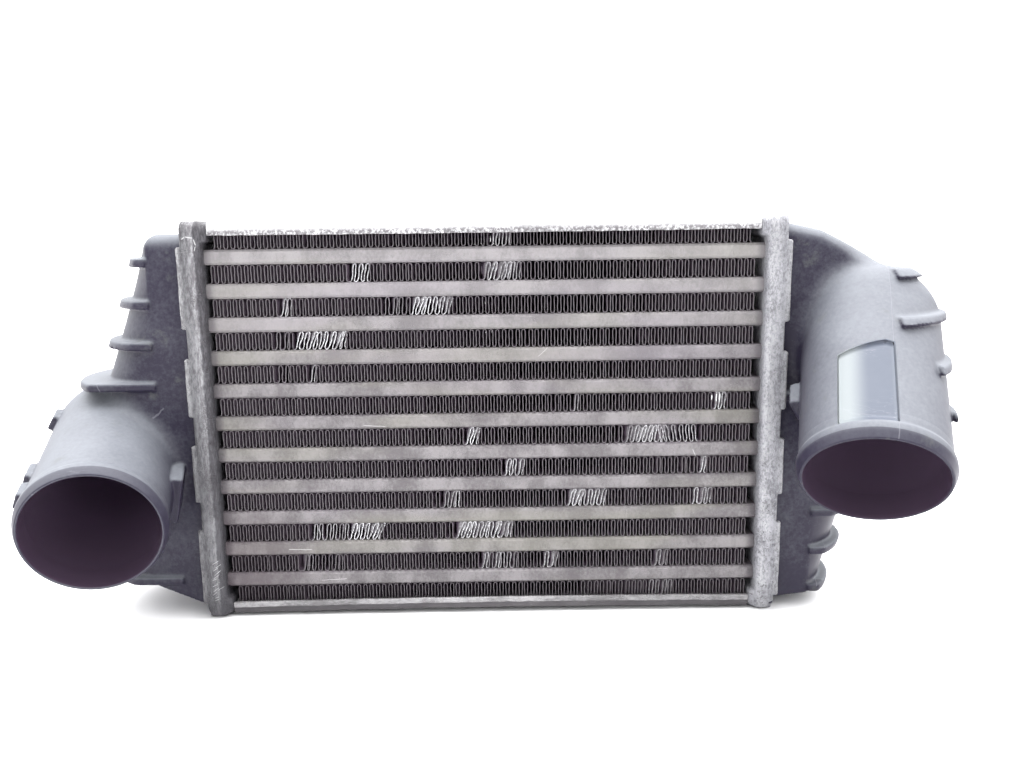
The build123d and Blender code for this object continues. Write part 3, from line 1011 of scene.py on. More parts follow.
@dataclass(frozen=True)
class TankSkin:
    """One moulded tank, in millimetres from the core's corner and drawn for the right side."""

    node: str
    side: int
    dome: Triple    # out from the crease, back from the tubes' front, up
    outward: Triple
    spigot_length: float
    low_out: float
    bend_height: float
    bend_out: float
    high_out: float
    roof: Triple    # above the stack, drop per mm, drop past the crease
    floor: Pair          # below the stack, rise per mm
    lowest_rib: float
    ribs: tuple[tuple[int, float], ...]
    collar_rung: int
    stub_rung: int
    lugs: tuple[Lug, ...]
    land: Lug | None = None
    blend: float = 9.0                  # hollow where the spigot leaves the tank
    crease_distance: float = 27.5       # from the header face to where the flat front turns round
    inset: float = 1.0
    root: float = 6.75                  # from the header face
    foot: Pair = (3.7, 9.8)             # its span from the header face
    foot_inset: float = 1.6
    foot_corner: float = 4.0
    foot_edge: float = 0.6
    floor_edge: float = 1.2
    rib_edge: float = 1.0
    rib_blend: float = 1.2
    small_edge: float = 0.8
    overhang: float = 5.0
    top_margin: float = 13.2
    foot_margin: float = 15.0
    rib_pitch: float = 19.5
    rib_thickness: float = 4.0
    rib_height: float = 5.0
    rib_face_height: float = 1.8
    rib_barrel_height: float = 2.6
    collar_height: float = 13.0
    stub_height: float = 3.5
    stub_start: float = 11.5            # from the header face
    roof_radius: float = 7.0
    bore: float = 28.5
    barrel: float = 30.5
    bead_height: float = 1.0
    mouth_part: float = 11.0            # length of the turned end
    overlap: float = 1.8                # how far the turned end runs back over the moulding
    proud: float = 0.04                 # how far it stands inside the bore there
    step: float = 1.1

    def frame(self, datum: Datum) -> tuple[np.ndarray, np.ndarray, np.ndarray, np.ndarray]:
        """Set up the spigot's directions.

        Args:
            datum: Where the core stands.

        Returns:
            The dome's centre, the spigot's direction, and two directions across it: level and upwards.
        """
        axis = np.array(self.outward) / np.linalg.norm(self.outward)
        level = np.array([-axis[1], axis[0], 0.0])
        level /= np.linalg.norm(level)
        dome = np.array([datum.half_core + self.crease_distance + self.dome[0], self.dome[1], self.dome[2]])
        return dome, axis, level, np.cross(axis, level)

    def shape(self, datum: Datum) -> Field:
        """Describe the tank without the turned end of its spigot.

        Args:
            datum: Where the core stands.

        Returns:
            Its distance field.
        """
        crease = datum.half_core + self.crease_distance
        middle = datum.depth / 2
        half = middle - self.inset
        heights = [-self.foot_margin, self.bend_height, datum.stack + self.top_margin]
        outs = [self.low_out, self.bend_out, self.high_out]
        foot_height = datum.stack + self.top_margin + self.foot_margin
        foot_middle = (datum.stack + self.top_margin - self.foot_margin) / 2
        dome, axis, level, up = self.frame(datum)
        floor_low, floor_rise = self.floor

        def field_at(p: np.ndarray) -> np.ndarray:
            """Measure from the tank's surface.

            Args:
                p: Places in millimetres.

            Returns:
                Distances.
            """
            x, y, z = p[..., 0], p[..., 1] - middle, p[..., 2]
            out = np.interp(z, heights, outs)
            radius = np.where(out < half, (half ** 2 + out ** 2) / (2 * np.maximum(out, 1e-6)), half)
            arc = np.hypot(np.maximum(x - (crease + out - radius), 0), y) - radius
            flat = np.abs(y) - half
            plan = rounded_cut(arc, flat, self.small_edge)
            floor = (-floor_low + floor_rise * (x - datum.half_core) - z) / math.hypot(1, floor_rise)
            body = rounded_cut(plan, self._roof(datum, x, z), self.roof_radius)
            body = rounded_cut(body, floor, self.floor_edge)
            body = np.maximum(body, datum.half_core + self.root - x)
            along = (p - dome) @ axis
            across = np.linalg.norm(p - dome - np.maximum(along, 0)[..., None] * axis, axis=-1)
            barrel = across - self.barrel
            cut = along - (self.spigot_length - self.mouth_part)
            solid = blended(body, np.maximum(barrel, cut), self.blend)
            for rung, start in self.ribs:
                rib = rounded_cut(arc - self.rib_height, flat - self.rib_face_height, self.rib_edge)
                if start > 0:
                    rib = np.minimum(rib, np.maximum(barrel - self.rib_barrel_height, cut))
                solid = self._with_rib(solid, rib, z, rung, x, crease + start)
            if self.collar_rung >= 0:
                rib = rounded_cut(arc - self.collar_height, flat - self.rib_face_height, self.rib_edge)
                solid = self._with_rib(solid, rib, z, self.collar_rung, x, crease)
            if self.stub_rung >= 0:
                rib = np.maximum(flat - self.stub_height, x - crease)
                solid = self._with_rib(solid, rib, z, self.stub_rung, x, datum.half_core + self.stub_start)
            for lug in self.lugs:
                solid = np.minimum(solid, self._lug(lug, p - dome, axis, level, up))
            foot_side = np.abs(y) - (middle + self.overhang - self.foot_inset)
            foot_end = np.abs(z - foot_middle) - (foot_height / 2 - self.foot_inset)
            foot = rounded_cut(foot_side, foot_end, self.foot_corner)
            foot = rounded_cut(foot, outside_span(x - datum.half_core, *self.foot), self.foot_edge)
            solid = np.minimum(solid, foot)
            return np.maximum(solid, self.bore - across)

        return field_at

    def _roof(self, datum: Datum, x: np.ndarray, z: np.ndarray) -> np.ndarray:
        """Measure above the roof, which drops faster past the crease.

        Args:
            datum: Where the core stands.
            x: Places across the core.
            z: Heights.

        Returns:
            Distances.
        """
        high, near, far = self.roof
        turn = datum.stack + high - near * self.crease_distance
        slopes = [(z - turn + slope * (x - datum.half_core - self.crease_distance)) / math.hypot(1, slope)
                  for slope in (near, far)]
        return np.maximum(*slopes)

    def _with_rib(self, solid: np.ndarray, rib: np.ndarray, z: np.ndarray, rung: int, x: np.ndarray,
                  start: float) -> np.ndarray:
        """Add one level rib.

        Args:
            solid: Distances from the tank so far.
            rib: Distances from the rib's outline seen from above.
            z: Heights.
            rung: Its place, counted upwards.
            x: Places across the core.
            start: Where it begins along X.

        Returns:
            Distances from the tank with the rib.
        """
        height = self.lowest_rib + rung * self.rib_pitch
        plate = rounded_cut(np.abs(z - height) - self.rib_thickness / 2, rib, self.small_edge)
        plate = rounded_cut(plate, start - x, self.small_edge)
        return blended(solid, plate, self.rib_blend)

    def _lug(self, lug: Lug, p: np.ndarray, axis: np.ndarray, level: np.ndarray,
             up: np.ndarray) -> np.ndarray:
        """Measure from one lug.

        Args:
            lug: The lug.
            p: Places relative to the dome's centre.
            axis: The spigot's direction.
            level: The level direction across it.
            up: The other direction across it.

        Returns:
            Distances.
        """
        angle = math.radians(lug.bearing)
        out = level * math.cos(angle) + up * math.sin(angle)
        over = -level * math.sin(angle) + up * math.cos(angle)
        near, far = self.spigot_length - lug.near, self.spigot_length - lug.far
        along = outside_span(p @ axis, far, near)
        wide = np.abs(p @ over) - lug.width / 2
        tall = np.abs(p @ out - self.barrel) - lug.height
        return rounded_cut(rounded_cut(along, wide, self.small_edge), tall, self.small_edge)

    def _mouth_ring(self, datum: Datum) -> tuple[np.ndarray, np.ndarray]:
        """Turn the end of the spigot: lip, hose bead and plain barrel.

        Args:
            datum: Where the core stands.

        Returns:
            Points and faces.
        """
        dome, axis, _, _ = self.frame(datum)
        back = -self.mouth_part - self.overlap
        bore, crest, plain = self.bore - self.proud, self.barrel + self.bead_height, self.barrel + 0.05
        profile = softened([
            (back, bore, 0.1), (-2.0, bore, 0.1), (-0.1, self.bore + 0.1, 0.5), (-0.1, self.bore + 1.2, 0.6),
            (-4.0, crest, 1.2), (-7.2, crest, 0.8), (-8.8, plain, 0.8), (back, plain, 0.15),
        ])
        return turned(profile, dome + axis * self.spigot_length, axis)

    def _land(self, datum: Datum, land: Lug) -> tuple[np.ndarray, list[tuple[int, ...]]]:
        """Lay a thin smooth land on the barrel, with bevelled edges and a slanting far end.

        Args:
            datum: Where the core stands.
            land: Its place and size.

        Returns:
            Points and faces.
        """
        dome, axis, level, up = self.frame(datum)
        rows, columns = 12, 28
        sunk, bevel = 1.0, 0.6          # mm: its underside within the wall, and its edge
        slant_depth, peak = 6.0, -0.7   # mm, and the place across where the far end reaches furthest
        half = math.degrees(land.width / 2 / self.barrel)
        near, far = self.spigot_length - land.near, self.spigot_length - land.far
        points = []
        for ring, (rise, shrink) in enumerate(((-sunk, 0.0), (land.height * 0.6, 0.0), (land.height, bevel))):
            for row in range(rows + 1):
                for column in range(columns + 1):
                    across = 2 * column / columns - 1
                    turn = math.radians(land.bearing + across * (half - math.degrees(shrink / self.barrel)))
                    slant = slant_depth * max(0.0, 1 - abs(across - peak) / (1 - peak))
                    top = far + slant_depth / 2 - slant + shrink
                    t = (near - shrink) + (top - near + shrink) * row / rows
                    out = level * math.cos(turn) + up * math.sin(turn)
                    points.append(dome + axis * t + out * (self.barrel + rise))
        wide = columns + 1
        layer = (rows + 1) * wide
        faces: list[tuple[int, ...]] = []
        border = ([(0, c) for c in range(columns)] + [(r, columns) for r in range(rows)]
                  + [(rows, c) for c in range(columns, 0, -1)] + [(r, 0) for r in range(rows, 0, -1)])
        for sheet, flip in ((2, False), (0, True)):
            for row in range(rows):
                for column in range(columns):
                    a = sheet * layer + row * wide + column
                    quad = (a, a + wide, a + wide + 1, a + 1)
                    faces.append(quad if flip else quad[::-1])
        for n, (row, column) in enumerate(border):
            next_row, next_column = border[(n + 1) % len(border)]
            for sheet in (0, 1):
                a = sheet * layer + row * wide + column
                b = sheet * layer + next_row * wide + next_column
                faces.append((a, b, b + layer, a + layer)[::-1])
        return np.array(points), faces

    def _wear(self, datum: Datum, points: np.ndarray) -> dict[str, np.ndarray]:
        """Find the bore, the rubbed lip and how deep each point lies.

        Args:
            datum: Where the core stands.
            points: Places in millimetres.

        Returns:
            Values for the finish, by name.
        """
        lip = 4.6                       # mm from the mouth that hoses have rubbed
        clear, fill_length = 8.0, 45.0  # mm of dark oily film behind the mouth, and over which the bore further in is painted paler, a painted fill light
        dome, axis, _, _ = self.frame(datum)
        spot = points - dome
        along = spot @ axis
        off = np.linalg.norm(spot - np.maximum(along, 0)[:, None] * axis, axis=-1)
        inside = ((off < self.bore + 0.7) & (along < self.spigot_length - 0.3)).astype(float)
        rubbed = ((off > self.bore + 0.8) & (along > self.spigot_length - lip)).astype(float)
        painted_fill = inside * np.clip((self.spigot_length - clear - along) / fill_length, 0.0, 1.0)
        return {"inside": inside, "rubbed": rubbed, "painted_fill": painted_fill}

    def build(self, datum: Datum, finishes: Sequence[bpy.types.Material]) -> bpy.types.Object:
        """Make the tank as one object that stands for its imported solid.

        Args:
            datum: Where the core stands.
            finishes: Moulded and polished plastic.

        Returns:
            The object.
        """
        dome, axis, _, _ = self.frame(datum)
        mouth = dome + axis * self.spigot_length
        crease = datum.half_core + self.crease_distance
        low = (datum.half_core + 2.0, min(-6.0, mouth[1] - self.barrel - 4.0), -self.foot_margin - 1.0)
        reach = max(self.bend_out + self.collar_height, self.dome[0] + self.barrel + 4.0)
        high = (crease + reach + 3.0, datum.depth + 6.0, datum.stack + self.top_margin)
        cast = Casting(self.node + "_moulding")
        cast.add(*skin(self.shape(datum), low, high, self.step))
        cast.add(*self._mouth_ring(datum))
        if self.land is not None:
            cast.add(*self._land(datum, self.land), 1)
        made = cast.pour(datum, self.side, finishes, self._wear(datum, cast.points))
        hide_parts(self.node)
        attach(made, "root")
        return made


LEFT_TANK = TankSkin(
    node="tank_left", side=-1, dome=(33.6, 31.93, 68.5), outward=(-0.236, -0.940, -0.265), spigot_length=86.0,
    low_out=33.0, bend_height=101.0, bend_out=33.0, high_out=3.7, roof=(7.4, 0.0, 0.0), floor=(15.0, 0.43),
    lowest_rib=3.4, ribs=((0, -5.5), (6, 0.0), (7, 0.0), (8, 0.0)), collar_rung=5, stub_rung=-1,
    lugs=(Lug(191, 24, 30, 69, 3.4), Lug(20, 9, 28, 40, 2.6), Lug(20, 8, 13, 24, 2.6),
          Lug(30, 8, 76, 86, 2.6)),
)
RIGHT_TANK = TankSkin(
    node="tank_right", side=1, dome=(24.7, 3.22, 123.8), outward=(-0.243, -0.735, -0.634), spigot_length=88.0,
    low_out=9.9, bend_height=110.0, bend_out=47.5, high_out=31.0, roof=(11.7, 0.22, 0.48), floor=(11.7, 0.12),
    lowest_rib=-5.2,
    ribs=((0, 0.0), (1, 0.0), (2, 0.0), (3, 0.0), (4, 0.0), (5, 39.5), (6, 34.0), (7, 21.0), (8, 28.0)),
    collar_rung=-1, stub_rung=5, lugs=(Lug(200, 14, 44, 56, 4.5),), land=Lug(100, 23.5, 6.5, 49.5, 0.35),
)


LEFT_MARKS = (
    ((-160.7, 85.4), (-154.7, 90.6), 0.5), ((-185.9, 104.6), (-182.2, 95.0), 0.35),
    ((-188.6, 67.5), (-187.0, 65.0), 0.7), ((-166.0, 60.0), (-163.0, 68.0), 0.25),
)
RIGHT_MARKS = (((153.0, 82.0), (160.5, 86.5), 0.4),)
RIGHT_PARTING = Parting((182.2, 3.22, 123.8), (0.970, -0.193, -0.148))


# ---------------------------------------------------------------- headers
@dataclass(frozen=True)
class HeaderSkin:
    """A pressed header tray with softened corners, rounded lower ends and folded tabs."""

    node: str
    side: int
    rim: float = 9.2
    tab: float = 11.4
    overhang: float = 5.0
    top_margin: float = 13.2
    foot_margin: float = 15.0
    fold_radius: float = 2.9
    corner_radius: float = 5.0
    edge: float = 0.4
    bulge: float = 2.4
    bulge_span: float = 10.0
    bulge_edge: Pair = (2.2, 1.6)       # rounding towards the core, and above and below
    bulge_back: float = 4.0             # how far behind the header face it is rooted
    bulge_blend: float = 1.5
    sheet: float = 3.5                  # edge of the tray and the lip of a tab together
    tab_edge: float = 0.45
    tab_corner: float = 0.5
    tabs: tuple[Pair, ...] = ((-6.8, 31.0), (45.0, 72.8), (86.8, 114.6), (128.6, 166.4))
    end_tab: float = 34.0
    tongue: float = 4.1                 # radius of the rounded lower end of the front and back walls
    tongue_middle: float = 3.1
    tongue_edge: float = 0.6
    wall: float = 2.5                   # only this much of the tray ends in the tongue
    ripple: float = 0.22
    waves: Triple = (0.23, 0.071, 0.19)     # radians in a mm: two along Z and one across
    phase: float = 0.0
    step: float = 0.85

    def shape(self, datum: Datum) -> Field:
        """Describe the tray, with its inside left solid, since the tank's foot fills it.

        Args:
            datum: Where the core stands.

        Returns:
            Its distance field.
        """
        face, middle = datum.half_core, datum.depth / 2
        top, bottom = datum.stack + self.top_margin, -self.foot_margin
        half = middle + self.overhang

        def field_at(p: np.ndarray) -> np.ndarray:
            """Measure from the tray's surface.

            Args:
                p: Places in millimetres.

            Returns:
                Distances.
            """
            x, y, z = p[..., 0], p[..., 1], p[..., 2]
            fast, slow, across = self.waves
            ripple = 1 + np.sin(z * fast + self.phase) * np.sin(z * slow + y * across + 1.3)
            side = np.abs(y - middle) - half + self.ripple * ripple
            outline = rounded_cut(side, outside_span(z, bottom, top), self.corner_radius)
            tray = rounded_cut(outline, face - x + self.ripple * 0.6 * ripple, self.fold_radius)
            tray = rounded_cut(tray, x - face - self.rim, self.edge)
            for low, high in ((bottom, bottom + self.bulge_span), (top - self.bulge_span, top)):
                pad = rounded_cut(outline + self.fold_radius * 0.5, face - self.bulge - x, self.bulge_edge[0])
                pad = rounded_cut(pad, outside_span(z, low, high), self.bulge_edge[1])
                tray = blended(tray, np.maximum(pad, x - face - self.bulge_back), self.bulge_blend)
            tab = rounded_cut(outline, -(outline + self.sheet), self.edge)
            tab = rounded_cut(tab, outside_span(x - face, self.rim - 1, self.tab), self.tab_edge)
            spans = np.min([outside_span(z, low, high) for low, high in self.tabs], axis=0)
            spans = np.minimum(spans, np.abs(y - middle) - self.end_tab / 2)
            tray = np.minimum(tray, rounded_cut(tab, spans, self.tab_corner))
            round_end = np.hypot(x - face - self.tongue_middle,
                                 np.minimum(z - bottom - self.tongue, 0)) - self.tongue
            relief = np.clip(-(np.abs(y - middle) - half) - self.wall, 0, 10) * 3
            above = 8 * (z > bottom + self.tongue + self.tongue_edge)
            return rounded_cut(tray, round_end - relief - above, self.tongue_edge)

        return field_at

    def build(self, datum: Datum, metal: bpy.types.Material) -> bpy.types.Object:
        """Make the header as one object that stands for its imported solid.

        Args:
            datum: Where the core stands.
            metal: Finish.

        Returns:
            The object.
        """
        room = 1.5      # mm searched beyond the tray
        low = (datum.half_core - self.bulge - room, -self.overhang - room, -self.foot_margin - room)
        high = (datum.half_core + self.tab + room, datum.depth + self.overhang + room,
                datum.stack + self.top_margin + room)
        cast = Casting(self.node + "_pressing")
        cast.add(*skin(self.shape(datum), low, high, self.step))
        made = cast.pour(datum, self.side, [metal])
        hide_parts(self.node)
        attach(made, "root")
        return made


# ---------------------------------------------------------------- side plates
SHARP_ANGLE = 50.0      # degrees; a plate's faces that meet at more are not smoothed together


@dataclass(frozen=True)
class PlateSkin:
    """A side plate whose long edges have been knocked and bowed."""

    node: str
    end: int                            # 1 top, -1 bottom
    bow: float
    phase: float
    fin: float = 8.8
    sheet: float = 1.5
    reach: float = 2.0
    lip: float = 2.2
    lip_sheet: float = 2.0
    flange_sheet: float = 1.4
    edge_break: float = 0.5
    flange: float = 13.2
    end_gap: float = 2.5                # from the header face to the plate's end
    dent: float = 0.22                  # deepest knock in the edge, up or down
    dent_waves: Pair = (0.31, 0.077)    # radians in a mm
    push: float = 0.25                  # furthest that the edge is pushed back
    push_wave: float = 0.19
    fade: float = 6.0                   # how far behind the edge the knocks end
    face_depth: float = 3.0             # how much of the flange, from the front, has the second finish, a dark painted shade on the lower plate
    stations: int = 130

    def build(self, datum: Datum, metals: Sequence[bpy.types.Material]) -> bpy.types.Object:
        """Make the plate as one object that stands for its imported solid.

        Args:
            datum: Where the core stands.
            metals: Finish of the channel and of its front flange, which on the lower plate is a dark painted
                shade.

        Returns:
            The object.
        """
        front, back, lip = -self.reach, self.fin + self.sheet, self.fin - self.lip
        edge = front + self.edge_break
        half = [
            (front + self.lip_sheet, self.fin, 0.2), (front + self.lip_sheet, lip, 0.3), (front, lip, 0.5),
            (front, back, 0.6), (edge, back + 0.3, 0.1), (edge, self.flange, 0.3),
            (edge + self.flange_sheet, self.flange, 0.3), (edge + self.flange_sheet, back, 0.3),
        ]
        outline = softened(half + [(datum.depth - y, z, r) for y, z, r in reversed(half)], 3)
        base = datum.stack if self.end > 0 else 0.0
        reach = datum.half_core - self.end_gap
        points, count = [], len(outline)
        for n in range(self.stations + 1):
            x = -reach + 2 * reach * n / self.stations
            bow = self.bow * (1 - (x / reach) ** 2)
            fast, slow = self.dent_waves
            knock = self.dent * math.sin(x * fast + self.phase) * math.sin(x * slow + 2 * self.phase)
            for y, z in outline:
                near = max(0.0, 1 - max(0.0, y - front) / self.fade)
                points.append((x, y + self.push * near * (1 + math.sin(x * self.push_wave + self.phase)) / 2,
                               base + self.end * (z - near * (bow + abs(knock)))))
        faces: list[tuple[int, ...]] = []
        for n in range(self.stations):
            for k in range(count):
                a, b = n * count + k, n * count + (k + 1) % count
                quad = (a, a + count, b + count, b)
                faces.append(quad if self.end < 0 else quad[::-1])
        first = tuple(range(count))
        last = tuple(self.stations * count + k for k in range(count))
        faces += [first, last[::-1]] if self.end < 0 else [first[::-1], last]
        cast = Casting(self.node + "_channel")
        cast.points = np.array(points)
        cast.faces = faces
        low_edge = self.fin + self.sheet + 0.15
        under = [z > low_edge and y < front + self.face_depth for y, z in outline]
        marked = [int(under[k] and under[(k + 1) % count]) for k in range(count)]
        cast.finishes = marked * self.stations + [0, 0]
        made = cast.pour(datum, 1, metals)
        made.data.set_sharp_from_angle(angle=math.radians(SHARP_ANGLE))
        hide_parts(self.node)
        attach(made, "root")
        return made


# ---------------------------------------------------------------- folded fins
@dataclass(frozen=True)
class Knock:
    """A stretch of a fin row whose folds were knocked over."""

    start: float        # mm from mid-width
    end: float
    lean: float = 2.6   # mm, positive to the right
    strength: float = 1.0


@dataclass(frozen=True)
class FoldedRow:
    """One row of folded strip between two tubes."""

    node: str
    knocks: tuple[Knock, ...] = ()
    pitch: float = 3.05
    sheet: float = 0.36
    more: Pair = (2.2, 0.4)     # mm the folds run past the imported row, left and right
    unrest: float = 0.15        # mm that a sound fold leans, one standard deviation

    def _seats(self, datum: Datum) -> bpy.types.Object:
        """Set out a point for each fold, which carries how far it leans and how badly it is bent.

        Args:
            datum: Where the core stands.

        Returns:
            The object, with the folds' pitch as its "pitch".
        """
        low, high = (list(corner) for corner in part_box(self.node))
        low[0] -= self.more[0] * MM
        high[0] += self.more[1] * MM
        count = int((high[0] - low[0]) / (self.pitch * MM))
        pitch = (high[0] - low[0] - self.sheet * MM) / count
        chance = random.Random(self.node)
        mesh = bpy.data.meshes.new(self.node + "_seats")
        middle = (low[2] + high[2]) / 2
        first = low[0] + self.sheet * MM / 2 + pitch / 2
        mesh.from_pydata([(first + pitch * n, low[1], middle) for n in range(count)], [], [])
        lean = mesh.attributes.new("lean", "FLOAT", "POINT")
        bend = mesh.attributes.new("bend", "FLOAT", "POINT")
        for number in range(count):
            x = (first + pitch * number - datum.middle) / MM
            lean.data[number].value = chance.gauss(0.0, self.unrest) * MM
            for knock in self.knocks:
                if knock.start <= x <= knock.end:
                    bend.data[number].value = knock.strength * chance.uniform(0.65, 1.0)
                    lean.data[number].value = knock.lean * chance.uniform(0.4, 1.2) * MM
        made = linked(self.node + "_folds", mesh)
        made["pitch"] = pitch
        return made

    def build(self, datum: Datum, tree: bpy.types.NodeTree, metal: bpy.types.Material) -> bpy.types.Object:
        """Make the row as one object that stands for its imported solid.

        Args:
            datum: Where the core stands.
            tree: The fold tree.
            metal: Finish.

        Returns:
            The object.
        """
        low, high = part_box(self.node)
        made = self._seats(datum)
        folds = made.modifiers.new("folds", "NODES")
        folds.node_group = tree
        values = {"Pitch": made["pitch"], "Height": high[2] - low[2] - self.sheet * MM,
                  "Depth": high[1] - low[1], "Metal": metal}
        for item in tree.interface.items_tree:
            if item.item_type == "SOCKET" and item.in_out == "INPUT" and item.name in values:
                folds[item.identifier] = values[item.name]
        wall = made.modifiers.new("wall", "SOLIDIFY")
        wall.thickness, wall.offset = self.sheet * MM, 0.0
        bpy.context.view_layer.update()
        evaluated = made.evaluated_get(bpy.context.evaluated_depsgraph_get())
        mesh = bpy.data.meshes.new_from_object(evaluated)
        made.modifiers.clear()
        made.data = mesh
        del made["pitch"]
        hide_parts(self.node)
        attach(made, "root")
        log.info("%s: %d faces", made.name, len(mesh.polygons))
        return made


FOLD_POINTS = (21, 8)       # of the sheet that becomes one fold: along the strip, and front to back
CROWDING = 3.0              # power that gathers the rows of points near the front edge
WAIST = 0.130               # how far a fold's two sides draw together, as a share of the pitch
CROWN = 0.22                # how much fuller than a sine its crests are
LOUVRE_WAVE = 0.8 * MM      # sideways wave of the strip behind its front edge
LOUVRE_START = 0.4          # where that wave begins, as a share of the depth
KNOCK_DEPTH = 5.0 * MM      # how far back a knocked fold is bent
WELD = 0.02 * MM


def fold_tree() -> bpy.types.NodeTree:
    """Build the tree that lays one rounded fold on each seat, welds them and bends the front edges.

    Returns:
        The node tree, with Pitch, Height, Depth and Metal as inputs.
    """
    tree = bpy.data.node_groups.new("folded_strip", "GeometryNodeTree")
    face = tree.interface
    face.new_socket("Geometry", in_out="INPUT", socket_type="NodeSocketGeometry")
    for name in ("Pitch", "Height", "Depth"):
        face.new_socket(name, in_out="INPUT", socket_type="NodeSocketFloat")
    face.new_socket("Metal", in_out="INPUT", socket_type="NodeSocketMaterial")
    face.new_socket("Geometry", in_out="OUTPUT", socket_type="NodeSocketGeometry")
    pen = Pen(tree)
    start = pen.node("NodeGroupInput")
    given = {socket.name: Term(pen, socket) for socket in start.socket.node.outputs if socket.name}
    columns, rows = FOLD_POINTS
    sheet = pen.node("GeometryNodeMeshGrid", None,
                     {"Size X": 1.0, "Size Y": 1.0, "Vertices X": columns, "Vertices Y": rows})
    across, along, _ = pen.split(pen.node("GeometryNodeInputPosition"))
    turn = (across + 0.5) * (2 * math.pi) - math.pi / 2
    share = along + 0.5
    depth = (share ** CROWDING) * given["Depth"]
    wave = ((share - LOUVRE_START).most(0.0) * (2 * math.pi / (1 - LOUVRE_START))).sin() * LOUVRE_WAVE
    fold_x = across * given["Pitch"] - (turn * 2.0).sin() * given["Pitch"] * WAIST + wave
    lift = turn.sin()
    fold_z = lift * (1 + CROWN - (lift * lift) * CROWN) * given["Height"] * 0.5
    spot = pen.node("ShaderNodeCombineXYZ", None, {0: fold_x, 1: depth, 2: fold_z})
    fold = pen.node("GeometryNodeSetPosition", None, {"Geometry": sheet, "Position": spot})
    laid = pen.node("GeometryNodeInstanceOnPoints", None, {"Points": given["Geometry"], "Instance": fold})
    real = pen.node("GeometryNodeRealizeInstances", None, {"Geometry": laid})
    welded = pen.node("GeometryNodeMergeByDistance", None, {"Geometry": real, "Distance": WELD})
    where = pen.node("GeometryNodeInputPosition")
    _, y, z = pen.split(where)
    row_low = pen.node("GeometryNodeAttributeStatistic", None, {"Geometry": welded, 2: y}, out="Min")
    near = (y - row_low).ramp(KNOCK_DEPTH, 0.0)
    row_base = pen.node("GeometryNodeAttributeStatistic", None, {"Geometry": welded, 2: z}, out="Min")
    height = (z - row_base) / given["Height"]
    lean = pen.node("GeometryNodeInputNamedAttribute", {"data_type": "FLOAT"}, {"Name": "lean"})
    bend = pen.node("GeometryNodeInputNamedAttribute", {"data_type": "FLOAT"}, {"Name": "bend"})
    rumple = pen.node("ShaderNodeTexNoise", {"noise_dimensions": "3D"},
                      {"Vector": where, "Scale": 260.0, "Detail": 1.0})
    push = near * near
    slant = height * 1.5 * bend + (1.0 - bend)
    offset_x = (lean * slant + (rumple - 0.5) * bend * (2.2 * MM)) * push
    offset_y = bend * rumple * near * (1.4 * MM)
    offset = pen.node("ShaderNodeCombineXYZ", None, {0: offset_x, 1: offset_y, 2: 0.0})
    bent = pen.node("GeometryNodeSetPosition", None, {"Geometry": welded, "Offset": offset})
    smooth = pen.node("GeometryNodeSetShadeSmooth", None, {"Geometry": bent})
    final = pen.node("GeometryNodeRealizeInstances", None, {"Geometry": smooth})
    dressed = pen.node("GeometryNodeSetMaterial", None, {"Geometry": final, "Material": given["Metal"]})
    end = tree.nodes.new("NodeGroupOutput")
    tree.links.new(dressed.socket, end.inputs[0])
    return tree


ROWS = 12
LAST_ROW_MORE = (2.2, 3.2)      # the lowest row runs closer to the right header
ROW_KNOCKS: dict[int, tuple[Knock, ...]] = {
    1: (Knock(2.4, 11.6, 1.2, 0.6),),
    2: (Knock(-63.8, -54.0, 2.2, 0.8), Knock(-2.5, 17.0, 2.6, 0.7)),
    3: (Knock(-97.2, -90.0, 2.0, 0.7), Knock(-49.0, -36.0, 1.5, 0.5), Knock(-36.0, -19.0, 2.4)),
    4: (Knock(-102.0, -91.0, 1.6, 0.4), Knock(-91.0, -67.0, 3.0)),
    5: (Knock(-101.2, -95.5, 1.2, 0.38), Knock(-85.1, -81.8, 1.4, 0.6)),
    6: (Knock(40.3, 43.2, 0.8, 0.5), Knock(106.5, 113.3, 0.8, 0.7)),
    7: (Knock(-12.3, -5.0, 2.4), Knock(66.4, 84.0, 2.4, 0.7), Knock(84.0, 103.1, -2.0, 0.8)),
    8: (Knock(6.8, 14.5, 1.6, 0.7), Knock(101.1, 104.0, 1.2, 0.8)),
    9: (Knock(-24.2, -15.9, 1.8, 0.7), Knock(38.3, 54.5, 2.4, 0.8), Knock(98.1, 109.4, 1.6, 0.7)),
    10: (Knock(-87.0, -70.0, 1.6, 0.6), Knock(-70.0, -54.6, 2.6), Knock(-18.3, 9.3, 2.4, 0.8)),
    11: (Knock(-93.8, -76.5, 2.2, 0.42), Knock(-5.3, 12.0, 1.8, 0.6), Knock(24.4, 31.8, 2.4, 0.8),
         Knock(81.9, 86.4, 1.6, 0.6)),
    12: (Knock(44.0, 78.0, 1.3, 0.2), Knock(78.0, 91.2, 1.4, 0.6)),
}


# ---------------------------------------------------------------- sheet-metal pieces
class Family(Enum):
    """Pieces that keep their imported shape, by the start of their names."""

    TUBE = "charge_tube"
    TURBULATOR = "turbulator"
    GASKET = "gasket"


def dress_family(family: Family, material: bpy.types.Material) -> None:
    """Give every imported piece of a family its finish.

    Args:
        family: The pieces.
        material: Their finish.
    """
    for name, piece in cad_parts.items():
        if name.startswith(family.value):
            piece.data.materials.clear()
            piece.data.materials.append(material)
            log.info("%s: %s", name, material.name)


